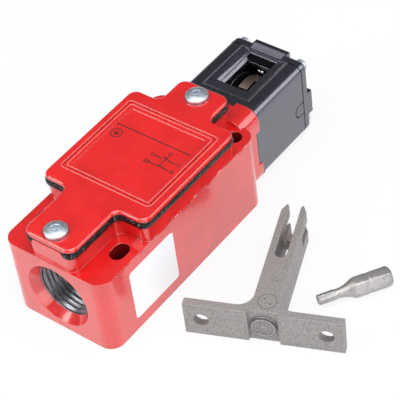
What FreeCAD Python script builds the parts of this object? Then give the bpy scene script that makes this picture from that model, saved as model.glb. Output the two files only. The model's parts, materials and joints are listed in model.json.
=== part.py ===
import FreeCAD, Part
import math
import os

import Sketcher

# Tongue-operated safety interlock switch with its actuator key and driver bit.
# Frame: X across the body, Y along it towards the operating head, Z out of the cover.
# The origin is on the mounting face, in the middle of the four mounting holes. Millimetres.

doc = FreeCAD.newDocument("interlock_switch")
sheet = doc.addObject("Spreadsheet::Sheet", "sizes")

SIZES = [
    # housing
    ("hole_pitch_x", 30.0),
    ("hole_pitch_y", 60.0),
    ("hole_radius", 2.65),
    ("hole_slot_length", 7.3),
    ("body_width", 41.0),
    ("body_corner_radius", 5.0),
    ("conduit_margin", 15.5),
    ("head_margin", 5.3),
    ("shelf_height", 29.7),
    ("rim_height", 35.5),
    ("floor_thickness", 4.0),
    ("wall_thickness", 4.0),
    ("neck_size", 31.6),
    ("neck_radius", 5.0),
    ("neck_length", 5.2),
    ("ear_length", 2.0),
    ("tab_width", 14.4),
    # conduit entry
    ("conduit_height", 15.0),
    ("conduit_radius", 10.2),
    ("conduit_mouth_radius", 12.1),
    ("conduit_mouth_depth", 3.2),
    ("conduit_thread_length", 11.0),
    # cover and gasket
    ("gasket_thickness", 1.6),
    ("gasket_setback", 0.25),
    ("cover_thickness", 2.5),
    ("cover_overhang", 0.45),
    ("cover_narrow_width", 19.8),
    ("cover_wide_start", -23.3),
    ("cover_wide_end", 24.0),
    ("cover_end_setback", 0.3),
    ("cover_far_reach", 1.2),
    ("cover_corner_radius", 3.2),
    ("cover_bend_radius", 2.8),
    ("cover_edge_radius", 0.9),
    ("plate_width", 36.4),
    ("plate_length", 36.2),
    ("plate_centre_y", 0.85),
    ("plate_depth", 0.35),
    ("frame_width", 1.5),
    ("cover_screw_near", -40.3),
    ("cover_screw_far", 31.3),
    ("cover_screw_head_radius", 4.2),
    ("cover_screw_radius", 2.0),
    ("cover_screw_length", 12.0),
    ("cover_screw_rise", 1.7),
    # operating head
    ("head_size", 30.0),
    ("head_corner_radius", 3.0),
    ("head_length", 28.0),
    ("seal_thickness", 0.6),
    ("end_cover_thickness", 3.3),
    ("pad_thickness", 1.6),
    ("pad_width", 14.0),
    ("lug_height", 9.4),
    ("lug_drop", 3.1),
    ("snap_tab_width", 4.9),
    ("snap_tab_length", 4.2),
    ("snap_tab_thickness", 1.3),
    ("slot_width", 12.7),
    ("slot_length", 17.0),
    ("throat_width", 9.2),
    ("throat_length", 14.4),
    ("lead_in_depth", 2.4),
    ("top_frame_width", 19.5),
    ("top_frame_margin", 4.0),
    ("top_frame_thickness", 1.2),
    ("head_screw_pitch", 23.6),
    ("head_screw_radius", 1.25),
    ("head_screw_head_radius", 2.2),
    ("head_screw_head_height", 1.9),
    ("head_screw_length", 36.0),
    # cam wheel
    ("wheel_gap", 17.4),
    ("wheel_radius", 10.3),
    ("wheel_thickness", 3.4),
    ("cam_drop", 3.0),
    ("cam_sector", 60.0),
    ("flange_spread", 9.2),
    ("flange_thickness", 1.8),
    ("chamber_width", 13.8),
    ("chamber_clearance", 0.5),
    ("axle_radius", 2.0),
    ("axle_length", 22.0),
    ("running_clearance", 0.06),
    # plunger and contacts
    ("plunger_radius", 2.5),
    ("plunger_tip_radius", 0.8),
    ("tip_clearance", 0.3),
    ("bush_radius", 4.5),
    ("bush_flange_radius", 5.8),
    ("bush_flange_thickness", 1.0),
    ("chamber_near", -20.5),
    ("chamber_far", 22.0),
    ("block_gap", 1.5),
    ("block_length", 38.0),
    ("block_height", 20.0),
    ("carrier_width", 6.0),
    ("carrier_height", 8.0),
    ("carrier_length", 25.0),
    ("part_clearance", 0.3),
    ("contact_gap", 0.2),
    ("bridge_length", 20.0),
    ("bridge_height", 3.0),
    ("bridge_thickness", 0.8),
    ("bridge_pitch", 14.0),
    ("terminal_screw_radius", 1.95),
    ("terminal_shank_radius", 1.05),
    ("terminal_head_height", 1.6),
    ("terminal_inset", 3.2),
    ("screw_slot_width", 0.7),
    ("screw_slot_depth", 0.7),
    ("strip_thickness", 0.8),
    ("strip_height", 2.8),
    ("strip_shelf_length", 7.5),
    ("strip_overlap", 3.2),
    ("strip_inset", 0.6),
    ("clamp_thickness", 0.8),
    ("clamp_width", 4.8),
    ("clamp_length", 5.2),
    ("cap_margin", 6.0),
    ("cap_thickness", 2.5),
    ("tip_radius", 1.2),
    ("tip_height", 0.6),
    ("tip_inset", 1.6),
    ("spring_radius", 2.0),
    ("spring_wire", 0.5),
    # side label
    ("label_start", 12.3),
    ("label_low", 5.4),
    ("label_length", 21.8),
    ("label_height", 19.4),
    ("label_thickness", 0.12),
    # actuator key
    ("key_pitch", 40.0),
    ("key_length", 51.2),
    ("key_height", 13.3),
    ("key_plate", 2.7),
    ("key_hole_radius", 2.6),
    ("key_stem_width", 8.3),
    ("key_reach", 48.0),
    ("key_root_radius", 5.0),
    ("key_fork_width", 4.0),
    ("key_fork_start", 24.3),
    ("key_side_slot", 4.5),
    ("key_side_slot_start", 37.5),
    ("key_web_start", 40.0),
    ("key_web_length", 3.2),
    ("key_recess_width", 10.0),
    ("key_recess_depth", 1.1),
    ("key_boss_radius", 4.0),
    ("key_place_x", 57.8),
    ("key_place_y", -16.6),
    ("key_turn", 22.1),
    # driver bit
    ("bit_flats", 6.35),
    ("bit_length", 25.0),
    ("bit_hex_length", 13.6),
    ("bit_tip_radius", 1.65),
    ("bit_neck_length", 4.6),
    ("bit_pin_hole_radius", 0.5),
    ("bit_place_x", 77.3),
    ("bit_place_y", 25.3),
    ("bit_turn", 237.0),
]


class Size:
    """A length with its number and the spreadsheet expression that gives it."""

    def __init__(self, value, text):
        self.value = float(value)
        self.text = text

    def join(self, other, sign):
        other = as_size(other)
        value = self.value + other.value if sign == "+" else self.value - other.value
        return Size(value, f"({self.text} {sign} {other.text})")

    def __add__(self, other):
        return self.join(other, "+")

    def __radd__(self, other):
        return as_size(other).join(self, "+")

    def __sub__(self, other):
        return self.join(other, "-")

    def __rsub__(self, other):
        return as_size(other).join(self, "-")

    def __neg__(self):
        return Size(-self.value, f"(0 - {self.text})")

    def __mul__(self, other):
        other = as_size(other)
        return Size(self.value * other.value, f"({self.text} * {other.text})")

    __rmul__ = __mul__

    def __truediv__(self, other):
        other = as_size(other)
        return Size(self.value / other.value, f"({self.text} / {other.text})")


def as_size(value):
    return value if isinstance(value, Size) else Size(value, f"{value:g}")


S = {}
for row, (alias, number) in enumerate(SIZES, start=1):
    sheet.set(f"A{row}", alias)
    sheet.set(f"B{row}", f"{number:g}")
    sheet.setAlias(f"B{row}", alias)
    S[alias] = Size(number, f"sizes.{alias}")
doc.recompute()

# widths that follow the body's width
S["cover_width"] = S["body_width"] + 2 * S["cover_overhang"]
S["chamber_half_width"] = S["body_width"] / 2 - S["wall_thickness"]
S["block_width"] = 2 * (S["chamber_half_width"] - S["block_gap"])


# ---------------------------------------------------------------- helpers

def bind(target, name, size):
    """Give a property its size and keep it tied to the sheet."""
    size = as_size(size)
    target.setExpression(name, size.text)


def place(target, x, y, z):
    for axis, size in (("x", x), ("y", y), ("z", z)):
        target.setExpression(f".Placement.Base.{axis}", as_size(size).text)


def box(name, low, high):
    """A box between two corners."""
    target = doc.addObject("Part::Box", name)
    for prop, a, b in (("Length", low[0], high[0]), ("Width", low[1], high[1]),
                       ("Height", low[2], high[2])):
        bind(target, prop, as_size(b) - as_size(a))
    place(target, *low)
    return target


TURNS = {
    "z": FreeCAD.Rotation(),
    "y": FreeCAD.Rotation(FreeCAD.Vector(1, 0, 0), -90),
    "x": FreeCAD.Rotation(FreeCAD.Vector(0, 1, 0), 90),
}


def cylinder(name, axis, radius, start, length):
    """A round bar along +X, +Y or +Z from its start point."""
    target = doc.addObject("Part::Cylinder", name)
    bind(target, "Radius", radius)
    bind(target, "Height", length)
    target.Placement = FreeCAD.Placement(FreeCAD.Vector(), TURNS[axis])
    place(target, *start)
    return target


def cone(name, axis, radius, end_radius, start, length):
    target = doc.addObject("Part::Cone", name)
    bind(target, "Radius1", radius)
    bind(target, "Radius2", end_radius)
    bind(target, "Height", length)
    target.Placement = FreeCAD.Placement(FreeCAD.Vector(), TURNS[axis])
    place(target, *start)
    return target


def fuse(name, shapes):
    target = doc.addObject("Part::MultiFuse", name)
    target.Shapes = shapes
    target.Refine = True
    return target


def cut(name, base, tool):
    target = doc.addObject("Part::Cut", name)
    target.Base = base
    target.Tool = tool
    target.Refine = True
    return target


def common(name, shapes):
    target = doc.addObject("Part::MultiCommon", name)
    target.Shapes = shapes
    target.Refine = True
    return target


def group(name, shapes):
    """Identical loose pieces kept as one node."""
    target = doc.addObject("Part::Compound", name)
    target.Links = shapes
    return target


def middle(edge):
    return edge.valueAt((edge.FirstParameter + edge.LastParameter) / 2)


def runs_along(edge, axis):
    if not isinstance(edge.Curve, (Part.Line, Part.LineSegment)):
        return False
    direction = edge.tangentAt(edge.FirstParameter)
    return abs(abs(getattr(direction, axis)) - 1) < 1e-6


def edge_names(shape, wanted):
    return [f"Edge{n}" for n, edge in enumerate(shape.Edges, start=1) if wanted(edge)]


def round_edges(name, base, radius, wanted):
    """Part fillet on the edges that the test picks."""
    doc.recompute()
    target = doc.addObject("Part::Fillet", name)
    target.Base = base
    numbers = [n for n, edge in enumerate(base.Shape.Edges, start=1) if wanted(edge)]
    target.Edges = [(n, radius.value, radius.value) for n in numbers]
    return target


def start_body(name):
    target = doc.addObject("PartDesign::Body", name)
    target.Label = name
    return target


def plane_of(body, role):
    return next(f for f in body.Origin.OriginFeatures if f.Role == role)


def start_sketch(body, name, role, offset=0.0):
    """A sketch on one of the body's own origin planes, moved along its normal."""
    sketch = body.newObject("Sketcher::SketchObject", name)
    sketch.AttachmentSupport = [(plane_of(body, role), "")]
    sketch.MapMode = "FlatFace"
    bind(sketch, ".AttachmentOffset.Base.z", offset)
    return sketch


def draw_polygon(sketch, points):
    """A closed outline whose corners are tied to the sheet."""
    first = sketch.GeometryCount
    count = len(points)
    spots = [FreeCAD.Vector(as_size(x).value, as_size(y).value, 0) for x, y in points]
    for n in range(count):
        sketch.addGeometry(Part.LineSegment(spots[n], spots[(n + 1) % count]), False)
    for n in range(count):
        sketch.addConstraint(Sketcher.Constraint("Coincident", first + n, 2, first + (n + 1) % count, 1))
    for n, (x, y) in enumerate(points):
        for kind, size in (("DistanceX", x), ("DistanceY", y)):
            size = as_size(size)
            number = sketch.addConstraint(Sketcher.Constraint(kind, -1, 1, first + n, 1, size.value))
            sketch.setExpression(f"Constraints[{number}]", size.text)


def draw_rectangle(sketch, x_low, y_low, x_high, y_high):
    draw_polygon(sketch, [(x_low, y_low), (x_high, y_low), (x_high, y_high), (x_low, y_high)])


def draw_circle(sketch, x, y, radius):
    x, y, radius = as_size(x), as_size(y), as_size(radius)
    number = sketch.addGeometry(Part.Circle(FreeCAD.Vector(x.value, y.value, 0), FreeCAD.Vector(0, 0, 1),
                                            radius.value), False)
    for kind, size in (("DistanceX", x), ("DistanceY", y)):
        tie = sketch.addConstraint(Sketcher.Constraint(kind, -1, 1, number, 3, size.value))
        sketch.setExpression(f"Constraints[{tie}]", size.text)
    tie = sketch.addConstraint(Sketcher.Constraint("Radius", number, radius.value))
    sketch.setExpression(f"Constraints[{tie}]", radius.text)


def pad(body, name, sketch, length, reverse=False):
    feature = body.newObject("PartDesign::Pad", name)
    feature.Profile = sketch
    feature.Reversed = reverse
    bind(feature, "Length", length)
    doc.recompute()
    return feature


def pocket(body, name, sketch, length, reverse=False):
    """Cut a sketch into the body, and make sure that it cuts."""
    before = body.Shape.Volume
    feature = body.newObject("PartDesign::Pocket", name)
    feature.Profile = sketch
    feature.Reversed = reverse
    bind(feature, "Length", length)
    doc.recompute()
    if before - body.Shape.Volume < 0.01:
        raise RuntimeError(f"{name} cuts nothing")
    return feature


def dress(body, kind, name, size, wanted):
    """A PartDesign fillet or chamfer on the edges that the test picks."""
    tip = body.Tip
    names = edge_names(tip.Shape, wanted)
    feature = body.newObject(f"PartDesign::{kind}", name)
    feature.Base = (tip, names)
    bind(feature, "Radius" if kind == "Fillet" else "Size", size)
    doc.recompute()
    return feature


# ---------------------------------------------------------------- shared places

half_x = S["hole_pitch_x"] / 2
half_y = S["hole_pitch_y"] / 2
body_near = -half_y - S["conduit_margin"]
body_far = half_y + S["head_margin"]
axis_z = S["neck_size"] / 2
seat_y = body_far + S["neck_length"]
ear_y = seat_y + S["ear_length"]
seam_y = seat_y + S["head_length"]
end_y = seam_y + S["end_cover_thickness"]
pad_y = end_y + S["pad_thickness"]
head_top = axis_z + S["head_size"] / 2
head_low = axis_z - S["head_size"] / 2
wheel_y = seat_y + S["wheel_gap"]
cover_low = S["rim_height"] + S["gasket_thickness"]
cover_top = cover_low + S["cover_thickness"]


def cross_outline(inset):
    """The cover's cross-shaped outline, moved inwards by an inset."""
    narrow = S["cover_narrow_width"] / 2 - inset
    wide = S["cover_width"] / 2 - inset
    near = body_near + S["cover_end_setback"] + inset
    far = body_far + S["cover_far_reach"] - inset
    start = S["cover_wide_start"] + inset
    stop = S["cover_wide_end"] - inset
    right = [(narrow, near), (narrow, start), (wide, start), (wide, stop), (narrow, stop), (narrow, far)]
    return right + [(-x, y) for x, y in reversed(right)]


def is_bend(edge):
    """The cross outline's four inner corners."""
    spot = middle(edge)
    narrow = S["cover_narrow_width"].value / 2
    near_step = min(abs(spot.y - S["cover_wide_start"].value),
                    abs(spot.y - S["cover_wide_end"].value)) < 1.5
    return runs_along(edge, "z") and near_step and abs(abs(spot.x) - narrow) < 1.5


def soften_cross(body, name, low, inset):
    """Round the cross outline's corners, tighter inside than outside where it is moved in."""
    bend = S["cover_bend_radius"] + inset
    corner = S["cover_corner_radius"] - inset
    dress(body, "Fillet", name + "_bends", bend, lambda e: is_bend(e) and middle(e).z > low)

    def outer(edge):
        spot = middle(edge)
        wide = S["cover_width"].value / 2
        narrow = S["cover_narrow_width"].value / 2
        at_side = abs(abs(spot.x) - wide) < 1.2
        at_end = abs(abs(spot.x) - narrow) < 1.2 and not is_bend(edge)
        at_end = at_end and abs(spot.y) > S["hole_pitch_y"].value / 2
        return runs_along(edge, "z") and spot.z > low and (at_side or at_end)

    dress(body, "Fillet", name + "_corners", corner, outer)


# ---------------------------------------------------------------- housing

def make_housing():
    """Die-cast housing: block, cover pedestal, neck with ears, wiring chamber and conduit entry."""
    body = start_body("housing")
    side = S["body_width"] / 2

    block = start_sketch(body, "block_sketch", "XY_Plane")
    draw_rectangle(block, -side, body_near, side, body_far)
    pad(body, "block", block, S["shelf_height"])
    dress(body, "Fillet", "block_corners", S["body_corner_radius"], lambda e: runs_along(e, "z"))

    inset = S["cover_overhang"]
    pedestal = start_sketch(body, "pedestal_sketch", "XY_Plane", S["shelf_height"] - 2)
    draw_polygon(pedestal, cross_outline(inset))
    pad(body, "pedestal", pedestal, S["rim_height"] - S["shelf_height"] + 2)
    soften_cross(body, "pedestal", S["shelf_height"].value, inset)

    half = S["neck_size"] / 2
    neck_start = body_far - 1.4
    neck = start_sketch(body, "neck_sketch", "XZ_Plane", -ear_y)
    draw_rectangle(neck, -half, 0, half, S["neck_size"])
    pad(body, "neck", neck, ear_y - neck_start)
    dress(body, "Fillet", "neck_corners", S["neck_radius"],
          lambda e: runs_along(e, "y") and middle(e).y > body_far.value
          and abs(abs(middle(e).x) - half.value) < 0.01)

    tab = S["tab_width"] / 2
    across = start_sketch(body, "tab_cut_across_sketch", "XZ_Plane", -ear_y)
    draw_rectangle(across, -half - 1, axis_z - tab, half + 1, axis_z + tab)
    pocket(body, "tab_cut_across", across, S["ear_length"], reverse=True)
    upright = start_sketch(body, "tab_cut_upright_sketch", "XZ_Plane", -ear_y)
    draw_rectangle(upright, -tab, -1, tab, S["neck_size"] + 1)
    pocket(body, "tab_cut_upright", upright, S["ear_length"], reverse=True)

    room = start_sketch(body, "chamber_sketch", "XY_Plane", S["rim_height"])
    wide = S["chamber_half_width"]
    slim = S["cover_narrow_width"] / 2 - inset - 2.2
    first = body_near + S["conduit_mouth_depth"] + S["conduit_thread_length"]
    draw_polygon(room, [(-wide, S["chamber_near"]), (-slim, S["chamber_near"]), (-slim, first),
                        (slim, first),
                        (slim, S["chamber_near"]), (wide, S["chamber_near"]), (wide, S["chamber_far"]),
                        (-wide, S["chamber_far"])])
    pocket(body, "chamber", room, S["rim_height"] - S["floor_thickness"])

    bore = start_sketch(body, "conduit_sketch", "XZ_Plane", -body_near)
    draw_circle(bore, 0, S["conduit_height"], S["conduit_radius"])
    pocket(body, "conduit_bore", bore, first - body_near)

    passage = start_sketch(body, "plunger_passage_sketch", "XZ_Plane", -seat_y)
    draw_circle(passage, 0, axis_z, S["bush_radius"])
    pocket(body, "plunger_passage", passage, seat_y - S["chamber_far"] + 1, reverse=True)
    seat = start_sketch(body, "bush_seat_sketch", "XZ_Plane", -seat_y)
    draw_circle(seat, 0, axis_z, S["bush_flange_radius"])
    pocket(body, "bush_seat", seat, S["bush_flange_thickness"], reverse=True)

    holes = start_sketch(body, "mounting_holes_sketch", "XY_Plane")
    for x in (-half_x, half_x):
        for y in (-half_y, half_y):
            draw_circle(holes, x, y, S["hole_radius"])
    pocket(body, "mounting_holes", holes, S["rim_height"], reverse=True)

    threads = start_sketch(body, "cover_screw_holes_sketch", "XY_Plane", S["rim_height"])
    for y in (S["cover_screw_near"], S["cover_screw_far"]):
        draw_circle(threads, 0, y, S["cover_screw_radius"])
    pocket(body, "cover_screw_holes", threads, S["cover_screw_length"] - S["gasket_thickness"])

    reach = S["head_screw_length"] - (pad_y - S["pad_thickness"] - seat_y)
    tapped = start_sketch(body, "head_screw_holes_sketch", "XZ_Plane", -ear_y)
    spread = S["head_screw_pitch"] / 2
    for x in (-spread, spread):
        for z in (axis_z - spread, axis_z + spread):
            draw_circle(tapped, x, z, S["head_screw_radius"])
    pocket(body, "head_screw_holes", tapped, reach + S["ear_length"] + 0.5, reverse=True)
    return body


def mounting_slot(tag, x):
    """Lengthens a mounting hole at the conduit end along Y."""
    reach = S["hole_slot_length"] / 2 - S["hole_radius"]
    depth = S["rim_height"] + 1
    ends = [cylinder(f"slot_{tag}_{end}", "z", S["hole_radius"], (x, y, -1), depth)
            for end, y in (("near", -half_y - reach), ("far", -half_y + reach))]
    middle_box = box(f"slot_{tag}_middle", (x - S["hole_radius"], -half_y - reach, -1),
                     (x + S["hole_radius"], -half_y + reach, S["rim_height"]))
    return [*ends, middle_box]


def make_conduit_mouth(housing):
    """The conical lead-in that meets the conduit thread, and the slotted mounting holes."""
    mouth = body_near - 0.01
    tool = cone("mouth_tool", "y", S["conduit_mouth_radius"], S["conduit_radius"],
                (0, mouth, S["conduit_height"]), S["conduit_mouth_depth"])
    slots = mounting_slot("left", -half_x) + mounting_slot("right", half_x)
    return cut("housing_with_mouth", housing, fuse("housing_tools", [tool, *slots]))


# ---------------------------------------------------------------- cover, gasket, cover screws

def make_cover():
    """Die-cast cover with a sunk nameplate panel inside a raised frame line."""
    body = start_body("cover")
    plate = start_sketch(body, "cover_sketch", "XY_Plane", cover_low)
    draw_polygon(plate, cross_outline(as_size(0)))
    pad(body, "cover_plate", plate, S["cover_thickness"])
    soften_cross(body, "cover", 0, as_size(0))
    dress(body, "Fillet", "cover_edge", S["cover_edge_radius"],
          lambda e: abs(middle(e).z - cover_top.value) < 1e-6)

    half_w = S["plate_width"] / 2
    half_l = S["plate_length"] / 2
    centre = S["plate_centre_y"]
    line = S["frame_width"]
    groove = start_sketch(body, "plate_groove_sketch", "XY_Plane", cover_top)
    draw_rectangle(groove, -half_w, centre - half_l, half_w, centre + half_l)
    draw_rectangle(groove, line - half_w, centre - half_l + line, half_w - line, centre + half_l - line)
    pocket(body, "plate_groove", groove, S["plate_depth"])
    panel = start_sketch(body, "plate_panel_sketch", "XY_Plane", cover_top)
    edge = 2 * line
    draw_rectangle(panel, edge - half_w, centre - half_l + edge, half_w - edge, centre + half_l - edge)
    pocket(body, "plate_panel", panel, S["plate_depth"])

    seats = start_sketch(body, "screw_seats_sketch", "XY_Plane", cover_top)
    for y in (S["cover_screw_near"], S["cover_screw_far"]):
        draw_circle(seats, 0, y, S["cover_screw_head_radius"] + S["part_clearance"])
    pocket(body, "screw_seats", seats, S["cover_thickness"] / 2)
    holes = start_sketch(body, "screw_holes_sketch", "XY_Plane", cover_top)
    for y in (S["cover_screw_near"], S["cover_screw_far"]):
        draw_circle(holes, 0, y, S["cover_screw_radius"] + S["part_clearance"])
    pocket(body, "screw_holes", holes, S["cover_thickness"])
    return body


def make_gasket():
    """Moulded rubber gasket that follows the rim, open over the wiring chamber."""
    body = start_body("cover_gasket")
    ring = start_sketch(body, "gasket_sketch", "XY_Plane", S["rim_height"])
    draw_polygon(ring, cross_outline(S["gasket_setback"]))
    pad(body, "gasket_ring", ring, S["gasket_thickness"])
    soften_cross(body, "gasket", 0, S["gasket_setback"])
    room = start_sketch(body, "gasket_room_sketch", "XY_Plane", cover_low)
    draw_rectangle(room, -S["chamber_half_width"], S["chamber_near"], S["chamber_half_width"],
                   S["chamber_far"])
    pocket(body, "gasket_room", room, S["gasket_thickness"])
    holes = start_sketch(body, "gasket_holes_sketch", "XY_Plane", cover_low)
    for y in (S["cover_screw_near"], S["cover_screw_far"]):
        draw_circle(holes, 0, y, S["cover_screw_radius"] + S["part_clearance"])
    pocket(body, "gasket_holes", holes, S["gasket_thickness"])
    return body


def make_cover_screws():
    """Two domed tamper-proof screws with a socket in the head."""
    screws = []
    for tag, y in (("near", S["cover_screw_near"]), ("far", S["cover_screw_far"])):
        seat = cover_top - S["cover_thickness"] / 2
        shank = cylinder(f"cover_shank_{tag}", "z", S["cover_screw_radius"],
                         (0, y, cover_low - S["cover_screw_length"]),
                         seat - cover_low + S["cover_screw_length"])
        rim = S["cover_screw_head_radius"]
        drum = cylinder(f"cover_head_{tag}", "z", rim, (0, y, seat),
                        cover_top - seat + S["cover_screw_rise"])
        dome = doc.addObject("Part::Sphere", f"cover_dome_{tag}")
        ball = rim * 1.75
        bind(dome, "Radius", ball)
        place(dome, 0, y, cover_top + S["cover_screw_rise"] - ball)
        head = common(f"cover_domed_head_{tag}", [drum, dome])
        whole = fuse(f"cover_screw_{tag}", [shank, head])
        top = cover_top + S["cover_screw_rise"]
        socket = cylinder(f"cover_socket_{tag}", "z", 1.3, (0, y, top - 1.6), as_size(2))
        post = cylinder(f"cover_post_{tag}", "z", 0.45, (0, y, top - 1.7), as_size(1.4))
        bored = cut(f"cover_screw_bored_{tag}", whole, socket)
        screws.append(fuse(f"cover_screw_done_{tag}", [bored, post]))
    return group("cover_screws", screws)


# ---------------------------------------------------------------- operating head

def lead_in_tool(name):
    """Top entry: a throat the size of the tongue that opens to the slot's mouth."""
    depth = S["lead_in_depth"]
    wide, slim = S["slot_width"] / 2, S["throat_width"] / 2
    long, short = S["slot_length"] / 2, S["throat_length"] / 2
    wedge = doc.addObject("Part::Wedge", name + "_mouth")
    for prop, size in (("Xmin", -wide), ("Xmax", wide), ("X2min", -slim), ("X2max", slim),
                       ("Zmin", -long), ("Zmax", long), ("Z2min", -short), ("Z2max", short),
                       ("Ymin", as_size(0)), ("Ymax", depth)):
        bind(wedge, prop, size)
    return wedge


def make_top_entry(name):
    wedge = lead_in_tool(name)
    wedge.Placement = FreeCAD.Placement(FreeCAD.Vector(), FreeCAD.Rotation(FreeCAD.Vector(1, 0, 0), -90))
    place(wedge, 0, wheel_y, head_top + 0.2)
    throat = box(name + "_throat", (-S["throat_width"] / 2, wheel_y - S["throat_length"] / 2, axis_z),
                 (S["throat_width"] / 2, wheel_y + S["throat_length"] / 2, head_top))
    ramp = doc.addObject("Part::Wedge", name + "_ramp")
    run = pad_y - wheel_y - S["throat_length"] / 2
    for prop, size in (("Xmin", -S["slot_width"] / 2), ("Xmax", S["slot_width"] / 2),
                       ("X2min", -S["slot_width"] / 2), ("X2max", S["slot_width"] / 2),
                       ("Zmin", as_size(0)), ("Zmax", run - S["pad_thickness"] * 0.6),
                       ("Z2min", as_size(0)), ("Z2max", as_size(0.05)),
                       ("Ymin", as_size(0)), ("Ymax", S["lead_in_depth"] + 0.6)):
        bind(ramp, prop, size)
    ramp.Placement = FreeCAD.Placement(FreeCAD.Vector(), FreeCAD.Rotation(FreeCAD.Vector(1, 0, 0), -90))
    place(ramp, 0, wheel_y + S["throat_length"] / 2 - 0.01, head_top + 0.2)
    return fuse(name, [wedge, throat, ramp])


def make_end_entry(name):
    wedge = lead_in_tool(name)
    wedge.Placement = FreeCAD.Placement(FreeCAD.Vector(), FreeCAD.Rotation(FreeCAD.Vector(0, 0, 1), 180))
    place(wedge, 0, pad_y + 0.01, axis_z)
    return wedge


def square_bar(name, start, stop, size, radius):
    """A square bar along Y on the head's axis with rounded long edges."""
    half = size / 2
    bar = box(name + "_bar", (-half, start, axis_z - half), (half, stop, axis_z + half))
    return round_edges(name, bar, radius, lambda e: runs_along(e, "y"))


def head_screw_spots():
    spread = S["head_screw_pitch"] / 2
    return [(tag_x + tag_z, x, axis_z + z) for tag_x, x in (("left", -spread), ("right", spread))
            for tag_z, z in (("_low", -spread), ("_top", spread))]


def snap_tabs(name, grow):
    """The end cover's two side tabs, or the pockets they lie in."""
    half = S["head_size"] / 2
    tabs = []
    height = S["snap_tab_width"] / 2 + grow
    middle_z = axis_z - S["lug_drop"] + 0.3
    for tag, sign in (("left", -1), ("right", 1)):
        inner = half - S["snap_tab_thickness"] - grow
        outer = half + (grow * 4)
        low = -outer if sign < 0 else inner
        high = -inner if sign < 0 else outer
        bar = box(f"{name}_{tag}_bar", (low, seam_y - S["snap_tab_length"] - grow, middle_z - height),
                  (high, seam_y + 1, middle_z + height))
        tabs.append(round_edges(f"{name}_{tag}", bar, S["snap_tab_width"] * 0.45,
                                lambda e: runs_along(e, "x") and middle(e).y < seam_y.value))
    return tabs


def make_head_body():
    """Black head casting: rounded square bar with a tenon, wheel chamber and top entry."""
    bar = square_bar("head_bar", seat_y + S["ear_length"], seam_y, S["head_size"],
                     S["head_corner_radius"])
    tab = S["tab_width"] / 2 - S["part_clearance"] / 2
    half = S["neck_size"] / 2 - 0.3
    gap = S["seal_thickness"]
    upright = box("tenon_upright", (-tab, seat_y + gap, axis_z - half),
                  (tab, ear_y + 0.01, axis_z + half))
    across = box("tenon_across", (-half, seat_y + gap, axis_z - tab), (half, ear_y + 0.01, axis_z + tab))
    collar = square_bar("head_collar", ear_y, ear_y + 1.2, S["head_size"] + 0.8,
                        S["head_corner_radius"] + 0.4)
    solid = fuse("head_solid", [bar, upright, across, collar])

    room = S["wheel_radius"] + S["chamber_clearance"]
    wide = S["chamber_width"] / 2
    chamber = box("wheel_chamber", (-wide, wheel_y - room, axis_z - room),
                  (wide, seam_y + 1, axis_z + room))
    passage = cylinder("head_plunger_hole", "y", S["plunger_radius"] + S["part_clearance"],
                       (0, seat_y - 1, axis_z), S["wheel_gap"])
    axle_hole = cylinder("axle_hole", "x", S["axle_radius"] + S["running_clearance"],
                         (-S["axle_length"] / 2 - S["part_clearance"], wheel_y, axis_z),
                         S["axle_length"] + 2 * S["part_clearance"])
    tools = [chamber, passage, axle_hole, make_top_entry("top_entry"), frame_recess(),
             *snap_tabs("tab_pocket", 0.12)]
    for tag, x, z in head_screw_spots():
        tools.append(cylinder(f"head_hole_{tag}", "y", S["head_screw_radius"] + S["part_clearance"],
                              (x, seat_y - 1, z), S["head_length"] + 2))
    return cut("head_body", solid, fuse("head_tools", tools))


def frame_recess():
    half = S["top_frame_width"] / 2
    start = wheel_y - S["slot_length"] / 2 - S["top_frame_margin"]
    return box("frame_recess", (-half - 0.1, start - 0.1, head_top - S["top_frame_thickness"]),
               (half + 0.1, seam_y + 1, head_top + 1))


def make_top_frame():
    """Slot frame let into the head's top face around the entry."""
    half = S["top_frame_width"] / 2
    start = wheel_y - S["slot_length"] / 2 - S["top_frame_margin"]
    plate = box("top_frame_plate", (-half, start, head_top - S["top_frame_thickness"]),
                (half, seam_y, head_top + 0.2))
    ridge = 0.5
    sink = box("top_frame_sink", (ridge - half, start + ridge, head_top),
               (half - ridge, seam_y + 1, head_top + 1))
    flat = cut("top_frame_flat", plate, sink)
    return cut("top_slot_frame", flat, make_top_entry("frame_entry"))


def make_end_cover():
    """End cover with a raised cross pad, blind end entry, screw holes and two snap tabs."""
    plate = square_bar("end_plate_blank", seam_y, end_y, S["head_size"], S["head_corner_radius"])
    plate = round_edges("end_plate", plate, as_size(1.2), lambda e: abs(middle(e).y - end_y.value) < 1e-6)
    half = S["head_size"] / 2
    upright = box("pad_upright", (-S["pad_width"] / 2, end_y - 1.5, head_low + 1),
                  (S["pad_width"] / 2, pad_y, head_top))
    lug = S["lug_height"] / 2
    across = box("pad_across", (-half, end_y - 1.5, axis_z - S["lug_drop"] - lug),
                 (half, pad_y, axis_z - S["lug_drop"] + lug))
    solid = fuse("end_solid", [plate, upright, across, *snap_tabs("snap_tab", 0)])
    tools = [make_end_entry("end_entry"), make_top_entry("end_cover_top_entry"), end_cover_relief()]
    for tag, x, z in head_screw_spots():
        tools.append(cylinder(f"end_hole_{tag}", "y", S["head_screw_radius"] + S["part_clearance"],
                              (x, seam_y - 1, z), S["end_cover_thickness"] + 3))
    return cut("head_end_cover", solid, fuse("end_tools", tools))


def end_cover_relief():
    """Room for the wheel behind the end entry."""
    return cylinder("wheel_relief", "x", S["wheel_radius"] + S["chamber_clearance"] + 0.2,
                    (-S["chamber_width"] / 2, wheel_y, axis_z), S["chamber_width"])


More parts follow.
